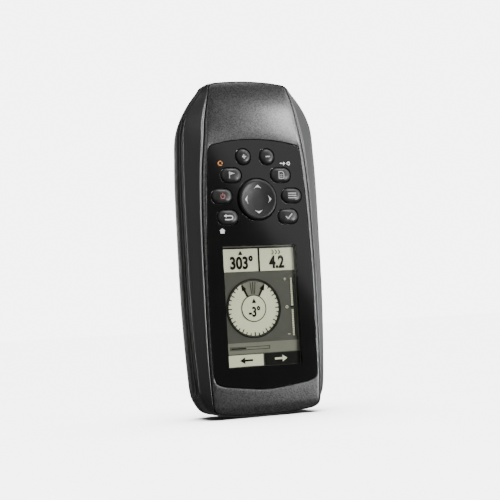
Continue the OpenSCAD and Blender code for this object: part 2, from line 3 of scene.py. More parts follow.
import bmesh
import bpy
import numpy as np
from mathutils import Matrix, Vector


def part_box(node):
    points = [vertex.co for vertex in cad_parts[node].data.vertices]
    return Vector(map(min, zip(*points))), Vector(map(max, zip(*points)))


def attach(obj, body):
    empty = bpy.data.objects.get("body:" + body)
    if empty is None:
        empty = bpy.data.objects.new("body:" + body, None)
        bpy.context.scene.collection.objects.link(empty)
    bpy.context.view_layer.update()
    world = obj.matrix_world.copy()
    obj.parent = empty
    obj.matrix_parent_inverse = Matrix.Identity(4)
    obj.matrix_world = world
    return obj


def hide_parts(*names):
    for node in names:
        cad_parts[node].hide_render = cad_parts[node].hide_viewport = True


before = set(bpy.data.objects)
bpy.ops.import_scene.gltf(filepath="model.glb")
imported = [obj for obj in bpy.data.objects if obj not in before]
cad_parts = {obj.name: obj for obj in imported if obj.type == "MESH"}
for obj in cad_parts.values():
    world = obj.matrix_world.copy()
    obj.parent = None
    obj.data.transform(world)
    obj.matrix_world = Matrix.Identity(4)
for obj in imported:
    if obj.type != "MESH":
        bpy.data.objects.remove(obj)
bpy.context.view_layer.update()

# The looks of a handheld satellite navigation receiver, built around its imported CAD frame.
# Lengths are in millimetres until a mesh is made. An outline is an array of [x, z] as seen
# from the front, and a depth counts back from the front panel's face.

MM = 0.001

# ---- Camera and sizes ----

CAMERA_AT = (-219.6, -507.3, 45.0)
CAMERA_TURN = (93.155, 3.16, -23.335)
CAMERA_LENS = 86.4

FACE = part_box("face_panel")[0].y / MM


def box_mm(node):
    """A node's box as (low, high), with x, depth and z in millimetres."""
    return tuple(np.array([p.x / MM, p.y / MM - FACE, p.z / MM]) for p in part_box(node))


def middle(node):
    """The x and z of a node's middle."""
    low, high = box_mm(node)
    return (low[0] + high[0]) / 2, (low[2] + high[2]) / 2


PANEL_T = box_mm("face_panel")[1][1]
BACK_D = box_mm("back_shell")[1][1]
CASE_X, SEAM_D0, CASE_H = box_mm("front_shell")[1]
MID_Z = CASE_H / 2
# The half width and the height that the outlines below were drawn for.
NOMINAL_X, NOMINAL_H = 33, 152.4
WALL = 1.7
SEAM_GAP = 0.9
# The side channel, and the heights over which it fades out at either end.
CHANNEL_DEEP, CHANNEL_D1 = 1.4, SEAM_D0 + 1.5
CHANNEL_FOOT, CHANNEL_HEAD = (9, 13), (134.5, 136.5)
# The face's roll at the top and the foot, its fall to the sides above the panel, and its sag.
TOP_ROLL, TOP_FLAT = 3.7, 126
FOOT_ROLL, FOOT_FLAT = 1.8, 6
FACE_CROWN, CROWN_X, CROWN_RISE = 1.3, 24, (122, 136)
FACE_SAG = 0.5
# The rim's depth, and how far it stays behind the face.
RIM_D, RIM_LEAD = 5.6, 2.3
# Points along an outline for each one that is given.
STEPS = 8

# Right-hand halves of the outlines, from the bottom centre up to the top centre.
CASE_POINTS = [
    (0, 0), (5, 0), (9.5, 0.05), (16, 0.8), (22.4, 1.6), (26.1, 3.3), (29, 7.2), (30.7, 12.2),
    (31.6, 24), (32.4, 40), (32.9, 58), (32.98, 78), (32.98, 97), (32.8, 110), (32.4, 120),
    (31.8, 129.7), (29.7, 136.4), (26.5, 142), (22.6, 147), (19.3, 150.7), (13, 151.8),
    (6.5, 152.2), (0, 152.4)]
FACE_POINTS = [
    (0, 0.8), (5, 0.8), (9.5, 0.95), (16, 1.5), (22.4, 2.3), (25.5, 4), (26.1, 7.4), (26.4, 12.2),
    (26.9, 24), (27.1, 40), (27.1, 58), (26.9, 78), (26.4, 97), (25.6, 110), (24.5, 120.2),
    (23.2, 130), (22.2, 136), (21, 141.5), (19.9, 146), (18.4, 150), (13, 151.3),
    (6.5, 151.8), (0, 152)]
PANEL_POINTS = [
    (0, 12.2), (4.5, 12.4), (9, 12.9), (16, 13.8), (21, 14.6), (24.1, 16.2), (25.3, 19),
    (25.6, 24), (25.75, 32), (25.8, 44), (25.65, 60), (25.2, 76), (24.5, 92), (23.9, 102),
    (23.3, 110.5), (22.85, 116.5), (22.5, 119.6), (21.3, 121.6), (18.5, 122.5),
    (14.5, 123.35), (9.8, 124.05), (4.9, 124.5), (0, 124.65)]


def make_camera():
    camera = put_in("camera", bpy.data.cameras.new("camera"))
    camera.data.lens = CAMERA_LENS
    camera.location = [v * MM for v in CAMERA_AT]
    camera.rotation_euler = [math.radians(v) for v in CAMERA_TURN]
    bpy.context.scene.camera = camera


# ---- Outlines and rings ----

def half_outline(points):
    """A smooth half outline through points that are mirrored past either end."""
    p = np.array(points, float)
    p = np.vstack([p[1] * (-1, 1), p, p[-2] * (-1, 1)])
    t = np.arange(STEPS)[:, None] / STEPS
    runs = [0.5 * (2 * b + (c - a) * t + (2 * a - 5 * b + 4 * c - d) * t ** 2
                   + (3 * b - a - 3 * c + d) * t ** 3)
            for a, b, c, d in zip(p, p[1:], p[2:], p[3:])]
    return np.vstack(runs + [p[-2:-1]])


def fitted_half(points):
    return half_outline(points) * (CASE_X / NOMINAL_X, CASE_H / NOMINAL_H)


def whole_outline(points):
    """A whole outline, fitted to the frame's size, counter-clockwise from the front."""
    half = fitted_half(points)
    line = np.vstack([half, half[-2:0:-1] * (-1, 1)])
    line[:, 1] = np.maximum(line[:, 1], 0)
    return line


CASE_LINE = whole_outline(CASE_POINTS)
FACE_LINE = whole_outline(FACE_POINTS)
PANEL_LINE = whole_outline(PANEL_POINTS)


def drawn_in(line, side, top, bottom):
    """An outline drawn in at the sides, the top and the bottom."""
    share = np.where(line[:, 1] > MID_Z, top, bottom) / MID_Z
    return np.column_stack([line[:, 0] * (1 - side / CASE_X),
                            MID_Z + (line[:, 1] - MID_Z) * (1 - share)])


def shrunk(line, e):
    return drawn_in(line, e, e, e)


def between(a, b, t):
    return a + (b - a) * t


def ramp(x, low, high):
    """A smooth rise from 0 to 1."""
    t = np.clip((x - low) / (high - low), 0, 1)
    return t * t * (3 - 2 * t)


def channel(z):
    """The side channel's depth at a height."""
    return CHANNEL_DEEP * ramp(z, *CHANNEL_FOOT) * (1 - ramp(z, *CHANNEL_HEAD))


def channelled(line, e):
    return shrunk(line, channel(line[:, 1]) + e)


def roll(z):
    """How far the face rolls back at a height."""
    top = np.maximum(0, (z - TOP_FLAT) / (NOMINAL_H - TOP_FLAT)) ** 3
    return TOP_ROLL * top + FOOT_ROLL * np.maximum(0, 1 - z / FOOT_FLAT) ** 2


def crown(line):
    """How far the face falls to its sides."""
    return FACE_CROWN * (line[:, 0] / CROWN_X) ** 2 * ramp(line[:, 1], *CROWN_RISE)


def face_depth(line, s):
    """The face's depth at a share s of the way from the panel to its edge."""
    return FACE_SAG * s * s + roll(line[:, 1]) + crown(line)


def rim_depth(line):
    return np.maximum(RIM_D, roll(line[:, 1]) + RIM_LEAD)


def ring(line, depth):
    """An outline placed at a depth."""
    return np.column_stack([line[:, 0], FACE + depth + 0 * line[:, 0], line[:, 1]])


def face_ring(line, s, d):
    return ring(line, face_depth(line, s) + d)


def facet_ring(line, t):
    """A ring on the slope from the face's edge (t = 0) to the rim (t = 1)."""
    return ring(line, face_depth(line, 1) * (1 - t) + rim_depth(line) * t)


def rim_ring(line, d):
    return ring(line, rim_depth(line) + d)


def rounded(rings, radii, closed, steps=4):
    """A section's rings, with the corner at each one rounded by its radius."""
    out = []
    last = len(rings) - 1
    for i, (corner, radius) in enumerate(zip(rings, radii)):
        if radius == 0 or (not closed and i in (0, last)):
            out.append(corner)
            continue
        ends = []
        for other in (rings[i - 1], rings[(i + 1) % (last + 1)]):
            length = np.linalg.norm(other - corner, axis=1, keepdims=True)
            share = np.minimum(radius / np.maximum(length, 1e-6), 0.48)
            ends.append(corner + (other - corner) * share)
        for t in np.linspace(0, 1, steps + 1):
            out.append(ends[0] * (1 - t) ** 2 + corner * 2 * t * (1 - t) + ends[1] * t ** 2)
    return out


# ---- Meshes ----

def put_in(name, data):
    obj = bpy.data.objects.new(name, data)
    bpy.context.scene.collection.objects.link(obj)
    return obj


def mesh_of(obj):
    bpy.context.view_layer.update()
    return bpy.data.meshes.new_from_object(obj.evaluated_get(bpy.context.evaluated_depsgraph_get()))


def new_object(name, points, faces, sharp=32):
    """A mesh object from points in millimetres."""
    mesh = bpy.data.meshes.new(name)
    mesh.from_pydata((np.array(points) * MM).tolist(), [], faces)
    work = bmesh.new()
    work.from_mesh(mesh)
    bmesh.ops.remove_doubles(work, verts=work.verts, dist=1e-7)
    bmesh.ops.dissolve_degenerate(work, edges=work.edges, dist=1e-7)
    bmesh.ops.recalc_face_normals(work, faces=work.faces)
    work.to_mesh(mesh)
    work.free()
    obj = put_in(name, mesh)
    soften(obj, sharp)
    return obj


def soften(obj, sharp):
    """Smooth shading with the edges over so many degrees sharp."""
    obj.data.polygons.foreach_set("use_smooth", [True] * len(obj.data.polygons))
    obj.data.set_sharp_from_angle(angle=math.radians(sharp))


def flatten(obj):
    """Shades broad faces flat up to their rounded edges."""
    weighted = obj.modifiers.new("weighted", "WEIGHTED_NORMAL")
    weighted.keep_sharp = True
    settle(obj)


def face_forward(obj, depth):
    """Gives the corners on a flat front face the face's own normal."""
    mesh = obj.data
    normals = np.empty(len(mesh.loops) * 3)
    mesh.corner_normals.foreach_get("vector", normals)
    normals = normals.reshape(-1, 3)
    nearly_front = -0.8
    for face in (f for f in mesh.polygons if f.normal.y < nearly_front):
        for corner in face.loop_indices:
            at = mesh.vertices[mesh.loops[corner].vertex_index].co
            if abs(at.y - depth * MM) < 0.001 * MM:
                normals[corner] = (0, -1, 0)
    mesh.normals_split_custom_set(normals.tolist())


def band_faces(count, a, b):
    """Quads between two rings of so many points."""
    return [(a * count + i, a * count + (i + 1) % count,
             b * count + (i + 1) % count, b * count + i) for i in range(count)]


def fan(count, turn, centre):
    """Triangles from a ring to a point."""
    return [(turn * count + i, turn * count + (i + 1) % count, centre) for i in range(count)]


def loft(name, rings, closed=False, sharp=32):
    """A solid through rings: a closed tube round its section, or a body capped at both ends."""
    count = len(rings[0])
    faces = [f for i in range(len(rings) - 1) for f in band_faces(count, i, i + 1)]
    points = np.vstack(rings)
    if closed:
        faces += band_faces(count, len(rings) - 1, 0)
    else:
        points = np.vstack([points, rings[0].mean(0), rings[-1].mean(0)])
        faces += fan(count, 0, len(points) - 2) + fan(count, len(rings) - 1, len(points) - 1)
    return new_object(name, points, faces, sharp)


def prism(line, d0, d1):
    """A solid of an outline between two depths."""
    line = np.array(line, float)
    count = len(line)
    points = np.vstack([ring(line, d0), ring(line, d1)])
    faces = band_faces(count, 0, 1) + [tuple(range(count)), tuple(range(count, 2 * count))]
    return new_object("prism", points, faces)


def arc(x, z, r, a0=0, a1=360, count=48):
    """Points along an arc with both its ends, or round a whole circle."""
    whole = abs(a1 - a0) == 360
    angles = np.radians(np.linspace(a0, a1, count + whole)[:count])
    return np.column_stack([x + r * np.cos(angles), z + r * np.sin(angles)])


def rounded_block(x0, x1, z0, z1, r, count=10):
    corners = ((x1 - r, z1 - r, 0), (x0 + r, z1 - r, 90),
               (x0 + r, z0 + r, 180), (x1 - r, z0 + r, 270))
    return np.vstack([arc(x, z, r, a, a + 90, count) for x, z, a in corners])


def oval(x, z, w, h, count=24):
    """A rounded block about a middle."""
    r = min(w, h) / 2
    return rounded_block(x - w / 2, x + w / 2, z - h / 2, z + h / 2, r - 1e-3, count)


def block(x0, x1, z0, z1):
    return np.array([(x0, z0), (x1, z0), (x1, z1), (x0, z1)], float)


def block_at(x, z, half_x, half_z):
    return block(x - half_x, x + half_x, z - half_z, z + half_z)


def around(node, gap):
    """A block round a node's box, as seen from the front."""
    low, high = box_mm(node)
    return block(low[0] - gap, high[0] + gap, low[2] - gap, high[2] + gap)


def combine(obj, others, operation):
    """Joins the others to obj or cuts them from it."""
    for other in others:
        change = obj.modifiers.new("combine", "BOOLEAN")
        change.solver = "MANIFOLD"
        change.operation = operation
        change.object = other
    settle(obj)
    for other in others:
        bpy.data.objects.remove(other)
    return obj


def settle(obj):
    """Replaces an object's mesh by what its modifiers make of it."""
    made = mesh_of(obj)
    obj.modifiers.clear()
    obj.data = made
    made.name = obj.name


def finished(obj, material, body, slot, *nodes):
    """Gives a piece its material, its body and the nodes it stands for; slot is not used."""
    obj.data.materials.clear()
    obj.data.materials.append(material)
    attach(obj, body)
    if nodes:
        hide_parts(*nodes)
    return obj


# ---- Materials ----

class Graph:
    """A new material, with short ways to add nodes to it."""

    def __init__(self, name):
        self.material = bpy.data.materials.new(name)
        self.material.use_nodes = True
        self.nodes = self.material.node_tree.nodes
        self.link = self.material.node_tree.links.new
        self.shader = self.nodes["Principled BSDF"].inputs

    def add(self, kind):
        return self.nodes.new("ShaderNode" + kind)

    def place(self):
        return self.add("TexCoord").outputs["Object"]

    def noise(self, size, detail, stretch=None):
        """A noise whose grains are about so many millimetres across."""
        where = self.place()
        if stretch:
            mapping = self.add("Mapping")
            mapping.inputs["Scale"].default_value = stretch
            self.link(where, mapping.inputs["Vector"])
            where = mapping.outputs["Vector"]
        grain = self.add("TexNoise")
        grain.inputs["Scale"].default_value = 1 / (size * MM)
        grain.inputs["Detail"].default_value = detail
        self.link(where, grain.inputs["Vector"])
        return grain.outputs["Fac"]

    def flakes(self, size):
        """A random value for each small cell, as of flakes in a paint."""
        cells = self.add("TexVoronoi")
        cells.inputs["Scale"].default_value = 1 / (size * MM)
        self.link(self.place(), cells.inputs["Vector"])
        value = self.add("SeparateColor")
        self.link(cells.outputs["Color"], value.inputs["Color"])
        return value.outputs["Red"]

    def math(self, operation, *values):
        made = self.add("Math")
        made.operation = operation
        for socket, value in zip(made.inputs, values):
            if isinstance(value, (int, float)):
                socket.default_value = value
            else:
                self.link(value, socket)
        return made.outputs["Value"]

    def blend(self, a, b, share):
        kept = self.math("MULTIPLY", a, 1 - share)
        return self.math("ADD", kept, self.math("MULTIPLY", b, share))

    def spread(self, value, low, high, source=(0.3, 0.7)):
        """A value spread over another range."""
        made = self.add("MapRange")
        names = ("From Min", "From Max", "To Min", "To Max")
        for name, number in zip(names, (*source, low, high)):
            made.inputs[name].default_value = number
        self.link(value, made.inputs["Value"])
        return made.outputs["Result"]

    def tone(self, value, dark, light, source=(0.3, 0.7)):
        """A colour between a dark and a light one."""
        made = self.add("ValToRGB")
        for element, colour, at in zip(made.color_ramp.elements, (dark, light), source):
            element.color = (*(colour if isinstance(colour, tuple) else (colour,) * 3), 1)
            element.position = at
        self.link(value, made.inputs["Fac"])
        return made.outputs["Color"]


def shade(name, dark, light, grain, rough, bump=0.0, patch=9.0, wear=0.4, flake=0.0,
          stretch=None, **constant):
    """A surface with a fine grain, broad patches of wear and, where asked for, metal flakes.

    dark and light are colours or greys. grain, patch and flake are sizes and bump is a height, in
    millimetres. wear is the patches' share, and constant sets the shader's own sockets."""
    flake_share = 0.4
    graph = Graph(name)
    fine = graph.noise(grain, 3, stretch)
    broad = graph.noise(patch, 4)
    mix = graph.blend(fine, broad, wear)
    if flake:
        mix = graph.blend(mix, graph.flakes(flake), flake_share)
    graph.link(graph.tone(mix, dark, light), graph.shader["Base Color"])
    graph.link(graph.spread(broad, *rough), graph.shader["Roughness"])
    if bump:
        height = graph.add("Bump")
        height.inputs["Distance"].default_value = bump * MM
        graph.link(fine, height.inputs["Height"])
        graph.link(height.outputs["Normal"], graph.shader["Normal"])
    for socket, value in constant.items():
        graph.shader[socket.replace("_", " ")].default_value = value
    return graph.material


def shell_plastic():
    return shade("shell_plastic", 0.007, 0.014, 0.16, (0.27, 0.29), bump=0.006,
                 patch=35, wear=0.2)


def back_plastic():
    return shade("back_plastic", 0.018, 0.030, 0.28, (0.46, 0.58), bump=0.03)


def bezel_paint():
    return shade("bezel_paint", 0.014, 0.085, 0.2, (0.28, 0.30), bump=0.004,
                 patch=40, wear=0.15, flake=0.28, Metallic=0.55, Coat_Weight=0.25,
                 Coat_Roughness=0.25)


def panel_gloss():
    return shade("panel_gloss", 0.0028, 0.0042, 0.4, (0.06, 0.09), patch=14, IOR=1.5)


def key_plastic():
    return shade("key_plastic", 0.014, 0.024, 0.14, (0.32, 0.38), bump=0.006, wear=0.2,
                 Specular_IOR_Level=0.3)


def pad_plastic():
    return shade("pad_plastic", 0.010, 0.018, 0.14, (0.34, 0.40), bump=0.006, wear=0.2,
                 Specular_IOR_Level=0.28)


def strip_rubber():
    return shade("strip_rubber", 0.028, 0.045, 0.2, (0.5, 0.62), bump=0.02)


def black_rubber():
    return shade("black_rubber", 0.012, 0.022, 0.22, (0.52, 0.66), bump=0.02)


def silicone():
    return shade("silicone", 0.13, 0.17, 0.4, (0.4, 0.5), bump=0.01)


def steel():
    return shade("steel", 0.42, 0.58, 0.25, (0.22, 0.34), bump=0.003, stretch=(1, 1, 6),
                 Metallic=1.0)


def dark_steel():
    return shade("dark_steel", 0.12, 0.2, 0.25, (0.3, 0.42), bump=0.004, Metallic=1.0)


def gold():
    return shade("gold", (0.62, 0.42, 0.12), (0.8, 0.58, 0.2), 0.3, (0.2, 0.3), Metallic=1.0)


def board_green():
    return shade("board_green", (0.010, 0.055, 0.022), (0.02, 0.10, 0.04), 1.1, (0.28, 0.4),
                 bump=0.02)


def ceramic():
    return shade("ceramic", (0.55, 0.48, 0.36), (0.68, 0.61, 0.48), 0.3, (0.45, 0.6), bump=0.01)


def chip_black():
    return shade("chip_black", 0.014, 0.026, 0.18, (0.42, 0.55), bump=0.01)


def light_guide():
    return shade("light_guide", (0.78, 0.82, 0.78), (0.88, 0.9, 0.86), 0.8, (0.15, 0.25),
                 bump=0.004)


def flex_film():
    return shade("flex_film", (0.42, 0.19, 0.03), (0.55, 0.28, 0.06), 0.6, (0.25, 0.35),
                 stretch=(4, 1, 1))


def ivory_plastic():
    return shade("ivory_plastic", (0.6, 0.57, 0.45), (0.7, 0.66, 0.54), 0.3, (0.4, 0.5), bump=0.01)


def cell_wrap():
    return shade("cell_wrap", (0.02, 0.10, 0.05), (0.035, 0.15, 0.08), 0.8, (0.2, 0.3), bump=0.01,
                 Coat_Weight=0.4)


def floor_paper(albedo):
    return shade("floor_paper", albedo - 0.02, albedo + 0.02, 3, (0.7, 0.8), patch=60)


def seal_foam():
    return shade("seal_foam", 0.10, 0.16, 0.18, (0.7, 0.85), bump=0.04)


def lens_clear():
    """Clear hard-coated plastic, which lets nearly all light through."""
    return shade("lens_clear", 0.86, 0.92, 0.5, (0.03, 0.06), Metallic=1.0, Alpha=0.03)


def print_ink(name, colour):
    """Screen-printed ink with a slightly uneven cover."""
    dark = tuple(0.8 * c for c in colour)
    return shade(name, dark, colour, 0.12, (0.45, 0.6), bump=0.002)


def lcd_tone(name, colour):
    """One grey of the display, with its fine grid of dots."""
    pitch = 0.225 * MM
    line_share = 0.14
    grid_share, cloud_share = 0.6, 0.35
    graph = Graph(name)
    split = graph.add("SeparateXYZ")
    graph.link(graph.place(), split.inputs["Vector"])
    lines = []
    for axis in ("X", "Z"):
        phase = graph.math("FRACT", graph.math("DIVIDE", split.outputs[axis], pitch))
        lines.append(graph.math("LESS_THAN", phase, line_share))
    grid = graph.math("MULTIPLY", graph.math("MAXIMUM", *lines), grid_share)
    cloud = graph.math("MULTIPLY", graph.noise(0.5, 2), cloud_share)
    darker = tuple(0.78 * c for c in colour)
    cover = graph.tone(graph.math("ADD", grid, cloud), colour, darker, (0.0, 1.0))
    graph.link(cover, graph.shader["Base Color"])
    graph.link(graph.spread(graph.noise(3, 2), 0.35, 0.45), graph.shader["Roughness"])
    graph.shader["Specular IOR Level"].default_value = 0.03
    return graph.material


INKS = {
    "ink_white": (0.80, 0.80, 0.80), "ink_grey": (0.45, 0.45, 0.45),
    "ink_red": (0.42, 0.10, 0.10), "ink_orange": (0.75, 0.25, 0.04)}
LCD_TONES = {
    "lcd_light": (0.62, 0.65, 0.44), "lcd_mid": (0.16, 0.165, 0.125),
    "lcd_dark": (0.004, 0.0043, 0.003)}


def lcd_base():
    return lcd_tone("lcd_base", (0.069, 0.071, 0.057))


# ---- Case ----

# The plate behind the panel: its depths, its reach, and the room round what passes through.
PLATE_D, PLATE_Z = (2.8, 4), (11, 124.4)
LENS_GAP, KEY_GAP, PAD_HOLE_R = 1.8, 1.1, 10.4


def front_section():
    """The front shell's section as (ring, rounding), from the bezel's seat outwards."""
    edge = shrunk(FACE_LINE, -0.15)
    ledge = shrunk(FACE_LINE, 1.3)
    seat = 1.95
    return [
        (face_ring(edge, 1, seat), 0),
        (face_ring(edge, 1, 0.35), 0.25),
        (face_ring(between(edge, CASE_LINE, 0.12), 1, 0), 0.8),
        (facet_ring(between(FACE_LINE, CASE_LINE, 0.72), 0.6), 1.6),
        (facet_ring(between(FACE_LINE, CASE_LINE, 0.93), 0.86), 1.2),
        (rim_ring(CASE_LINE, 0), 1.2),
        (rim_ring(CASE_LINE, 1.3), 0.12),
        (rim_ring(channelled(CASE_LINE, 0), 1.6), 0.15),
        (ring(channelled(CASE_LINE, 0), SEAM_D0), 0.2),
        (ring(channelled(CASE_LINE, WALL), SEAM_D0), 0),
        (rim_ring(channelled(CASE_LINE, WALL), 0.3), 0.5),
        (face_ring(ledge, 1, seat), 0)]


def make_front_shell(material):
    section = rounded(*zip(*front_section()), closed=True)
    shell = loft("front_shell_skin", section, closed=True)
    line = shrunk(FACE_LINE, -0.6)
    line[:, 1] = np.clip(line[:, 1], *PLATE_Z)
    plate = prism(line[np.append(True, np.any(np.diff(line, axis=0) != 0, axis=1))], *PLATE_D)
    holes = [around("display_lens", LENS_GAP)]
    holes += [key_line(node, KEY_GAP) for node in KEY_NODES]
    holes.append(arc(*middle("direction_pad"), PAD_HOLE_R))
    cuts = [prism(hole, PLATE_D[0] - 0.8, PLATE_D[1] + 1) for hole in holes]
    combine(plate, cuts, "DIFFERENCE")
    combine(shell, [plate], "UNION")
    soften(shell, 32)
    flatten(shell)
    return finished(shell, material, "case", "shell_plastic", "front_shell")


# The back's curve: how far it is drawn in at the sides, the top and the bottom, at what depth,
# and how far that corner is rounded outside.
BACK_OUTSIDE = [
    (0, 0.3, 0, CHANNEL_D1, 0.3), (0, 1, 0, 15, 1), (0.2, 2.2, 0, 17.4, 1.2),
    (0.8, 4.4, 0, 20.4, 1.6), (2.1, 10, 0.9, 23.4, 1.8), (4.4, 21, 3, 26, 2),
    (7.2, 38, 5.8, 27.7, 2.5), (10, 50, 8.6, BACK_D, 2.5), (16, 58, 15, BACK_D, 0)]
BACK_INSIDE = [
    (12, 52, 11, 24.6), (6, 26, 5.4, 22.6), (3.4, 11, 2.4, 18), (3.1, 5, 2.1, 14)]


def back_rings():
    """The back shell's outer and inner lines, as (line, depth, rounding)."""
    seam = SEAM_D0 + SEAM_GAP
    lip = drawn_in(CASE_LINE, 0, 0.2, 0)
    outer = [(channelled(CASE_LINE, 0), seam, 0.2), (channelled(lip, 0), CHANNEL_D1 - 0.3, 0.15)]
    outer += [(drawn_in(CASE_LINE, *reach), d, r) for *reach, d, r in BACK_OUTSIDE]
    inner = [(drawn_in(CASE_LINE, *reach), d, 0) for *reach, d in BACK_INSIDE]
    return outer, inner + [(channelled(lip, WALL), seam, 0)]


def cup(name, outer, inner):
    """A cup from its rim round the outside, and back along the inside."""
    corners, radii = zip(*((ring(line, d), r) for line, d, r in outer))
    outer_rings = rounded(corners, radii, closed=False)
    rings = outer_rings + [ring(line, d) for line, d, r in inner]
    count = len(rings[0])
    points = np.vstack(rings)
    last = len(outer_rings) - 1
    faces = [f for i in range(len(rings) - 1) if i != last for f in band_faces(count, i, i + 1)]
    faces += band_faces(count, len(rings) - 1, 0)
    for turn in (last, last + 1):
        points = np.vstack([points, [rings[turn].mean(0)]])
        faces += fan(count, turn, len(points) - 1)
    return new_object(name, points, faces)


# The cells' bay: half its width, its wall, the depth where that begins, and its floor.
BAY_X, BAY_WALL, BAY_D, BAY_FLOOR = 16, 1.4, 10.4, 1.2
# The depths where the walls inside the back end, and where the cuts from behind end.
WALLS_END, BEHIND = 26.6, 30
# The ledge under the door, the gap round the door and its corners, and its two tabs.
DOOR_LEDGE, DOOR_GAP, DOOR_CORNER = 25.9, 0.25, 5
TAB_X, TAB_HALF, TAB_RISE = 12, 3.2, 1.15
# The latch's well as radii and depths, and the slot for its cam: half as wide, and as long.
WELL_WALL_R, WELL_WALL_D = 9.6, 17.4
WELL_R, WELL_D = 6.6, 18.6
CAM_ROOM_R, CAM_ROOM_D = 8, 23.1
DISH_R, DISH_D = 9.4, 24.9
CAM_SLOT, CAM_REACH = 2.6, 8
# The sockets' block, where their openings begin, half the size of one and the other's radius.
PORT_BLOCK, PORT_BLOCK_D = (-12, 12, 96, 116), (21, 25.8)
PORT_D, USB_HALF, DATA_R = 20.9, (4.3, 2.4), 4.5
# The recess for their cap, the seat and slot for its strap, and the notch to lift it by.
CAP_GAP, CAP_Z, CAP_CORNER, CAP_LEDGE = 0.3, (97.7, 114.5), 2.5, 25.95
STRAP_SEAT = (-6.2, 6.2, 114, 118.8)
STRAP_SLOT, STRAP_SLOT_D = (-4.7, 4.7, 115.4, 118.2), 20
NOTCH, NOTCH_D = (0, 97.4, 9, 5), 26.8
# The bosses and where they begin, the holes through them, and the room for the screws' heads.
BOSS_R, BOSS_D, SCREW_HOLE_R, SCREW_HOLE_D, COUNTERBORE_R = 3.5, SEAM_D0 + 0.7, 1.35, 9, 2.5


def back_walls(screws):
    """The walls of the bay, the latch's well, the sockets' block and the bosses."""
    low, high = box_mm("contact_plates")
    wall_x = BAY_X + BAY_WALL
    bay = block(-wall_x, wall_x, low[2] - BAY_WALL, high[2] + BAY_WALL)
    walls = [prism(bay, BAY_D, WALLS_END),
             prism(arc(*middle("latch_barrel"), WELL_WALL_R), WELL_WALL_D, WALLS_END),
             prism(block(*PORT_BLOCK), *PORT_BLOCK_D)]
    return walls + [prism(arc(x, z, BOSS_R, count=32), BOSS_D, end + 3)
                    for x, z, end in screws]


def back_cuts(screws):
    """What is cut from the back: outlines and where a cut begins, and ends if inside."""
    door_low, door_high = box_mm("battery_door")
    cap_low, cap_high = box_mm("weather_cap")
    low, high = box_mm("contact_plates")
    latch_x, latch_z = middle("latch_barrel")
    usb_x, port_z = middle("usb_port")
    data_x, _ = middle("data_port")
    door_x = door_high[0] + DOOR_GAP
    door_top = door_high[2] - TAB_RISE
    door = rounded_block(-door_x, door_x, door_low[2] - DOOR_GAP, door_top, DOOR_CORNER)
    cap = rounded_block(cap_low[0] - CAP_GAP, cap_high[0] + CAP_GAP, *CAP_Z, CAP_CORNER)
    cuts = [
        (door, DOOR_LEDGE),
        (block(-BAY_X, BAY_X, low[2], high[2]), BAY_D + BAY_FLOOR),
        (arc(latch_x, latch_z, WELL_R), WELL_D),
        (arc(latch_x, latch_z, CAM_ROOM_R), WELL_D, CAM_ROOM_D),
        (arc(latch_x, latch_z, DISH_R), DISH_D),
        (block(-CAM_SLOT, CAM_SLOT, latch_z - CAM_REACH, latch_z), WELL_D),
        (cap, CAP_LEDGE),
        (block(*STRAP_SEAT), CAP_LEDGE),
        (block(*STRAP_SLOT), STRAP_SLOT_D),
        (oval(*NOTCH), NOTCH_D)]
    for x in (-TAB_X, TAB_X):
        cuts.append((block(x - TAB_HALF, x + TAB_HALF, door_top - 1, door_top + 1.5), DOOR_LEDGE))
    cuts += [(block_at(usb_x, port_z, *USB_HALF), PORT_D), (arc(data_x, port_z, DATA_R), PORT_D)]
    for x, z, end in screws:
        cuts.append((arc(x, z, SCREW_HOLE_R, count=24), SCREW_HOLE_D))
        cuts.append((arc(x, z, COUNTERBORE_R, count=32), end))
    return cuts


def make_back_shell(material):
    shell = cup("back_shell_skin", *back_rings())
    screws = screw_places()
    combine(shell, back_walls(screws), "UNION")
    cuts = [prism(line, start, *(end or [BEHIND])) for line, start, *end in back_cuts(screws)]
    combine(shell, cuts, "DIFFERENCE")
    soften(shell, 30)
    return finished(shell, material, "case", "shell_plastic", "back_shell")


# About where the screws are on each side, and the depth of their heads' seats.
SCREWS = ((23.9, 19, 15), (25.2, 88, 15), (15.6, 137, 14))


def screw_places():
    """The case screws as (x, z, depth under the head), found in their node."""
    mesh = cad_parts["case_screws"].data
    points = np.array([v.co for v in mesh.vertices])[:, ::2] / MM
    places = []
    for x, z, end in SCREWS:
        for side in (-1, 1):
            near = points[np.hypot(points[:, 0] - side * x, points[:, 1] - z) < 4]
            places.append((*((near.min(0) + near.max(0)) / 2), end))
    return places


def make_bezel(material):
    """The painted face round the panel, which falls back towards its edge."""
    inner = shrunk(PANEL_LINE, -0.3)
    edge = shrunk(FACE_LINE, 0.18)
    back = 1.85
    section = [(ring(inner, back + 0.05), 0), (ring(inner, 0.0), 0.45)]
    section += [(face_ring(between(inner, edge, s), s, 0), 0) for s in np.linspace(0, 1, 16)[2:-1]]
    section += [(face_ring(edge, 1, 0.1), 0.2), (face_ring(edge, 1, back), 0),
                (face_ring(between(inner, edge, 0.5), 0.5, back), 0)]
    bezel = loft("bezel_skin", rounded(*zip(*section), closed=True), closed=True)
    return finished(bezel, material, "case", "bezel_plastic", "face_bezel")


def panel_curve(lines, bevel):
    """A flat filled curve, as thick as the panel, with rounded edges."""
    curve = bpy.data.curves.new("panel", "CURVE")
    curve.dimensions = "2D"
    curve.fill_mode = "BOTH"
    curve.extrude = (PANEL_T / 2 - bevel) * MM
    curve.bevel_depth = bevel * MM
    curve.bevel_resolution = 3
    curve.offset = -bevel * MM
    for line in lines:
        spline = curve.splines.new("POLY")
        spline.points.add(len(line) - 1)
        for point, (x, z) in zip(spline.points, line):
            point.co = (x * MM, z * MM, 0, 1)
        spline.use_cyclic_u = True
    return curve


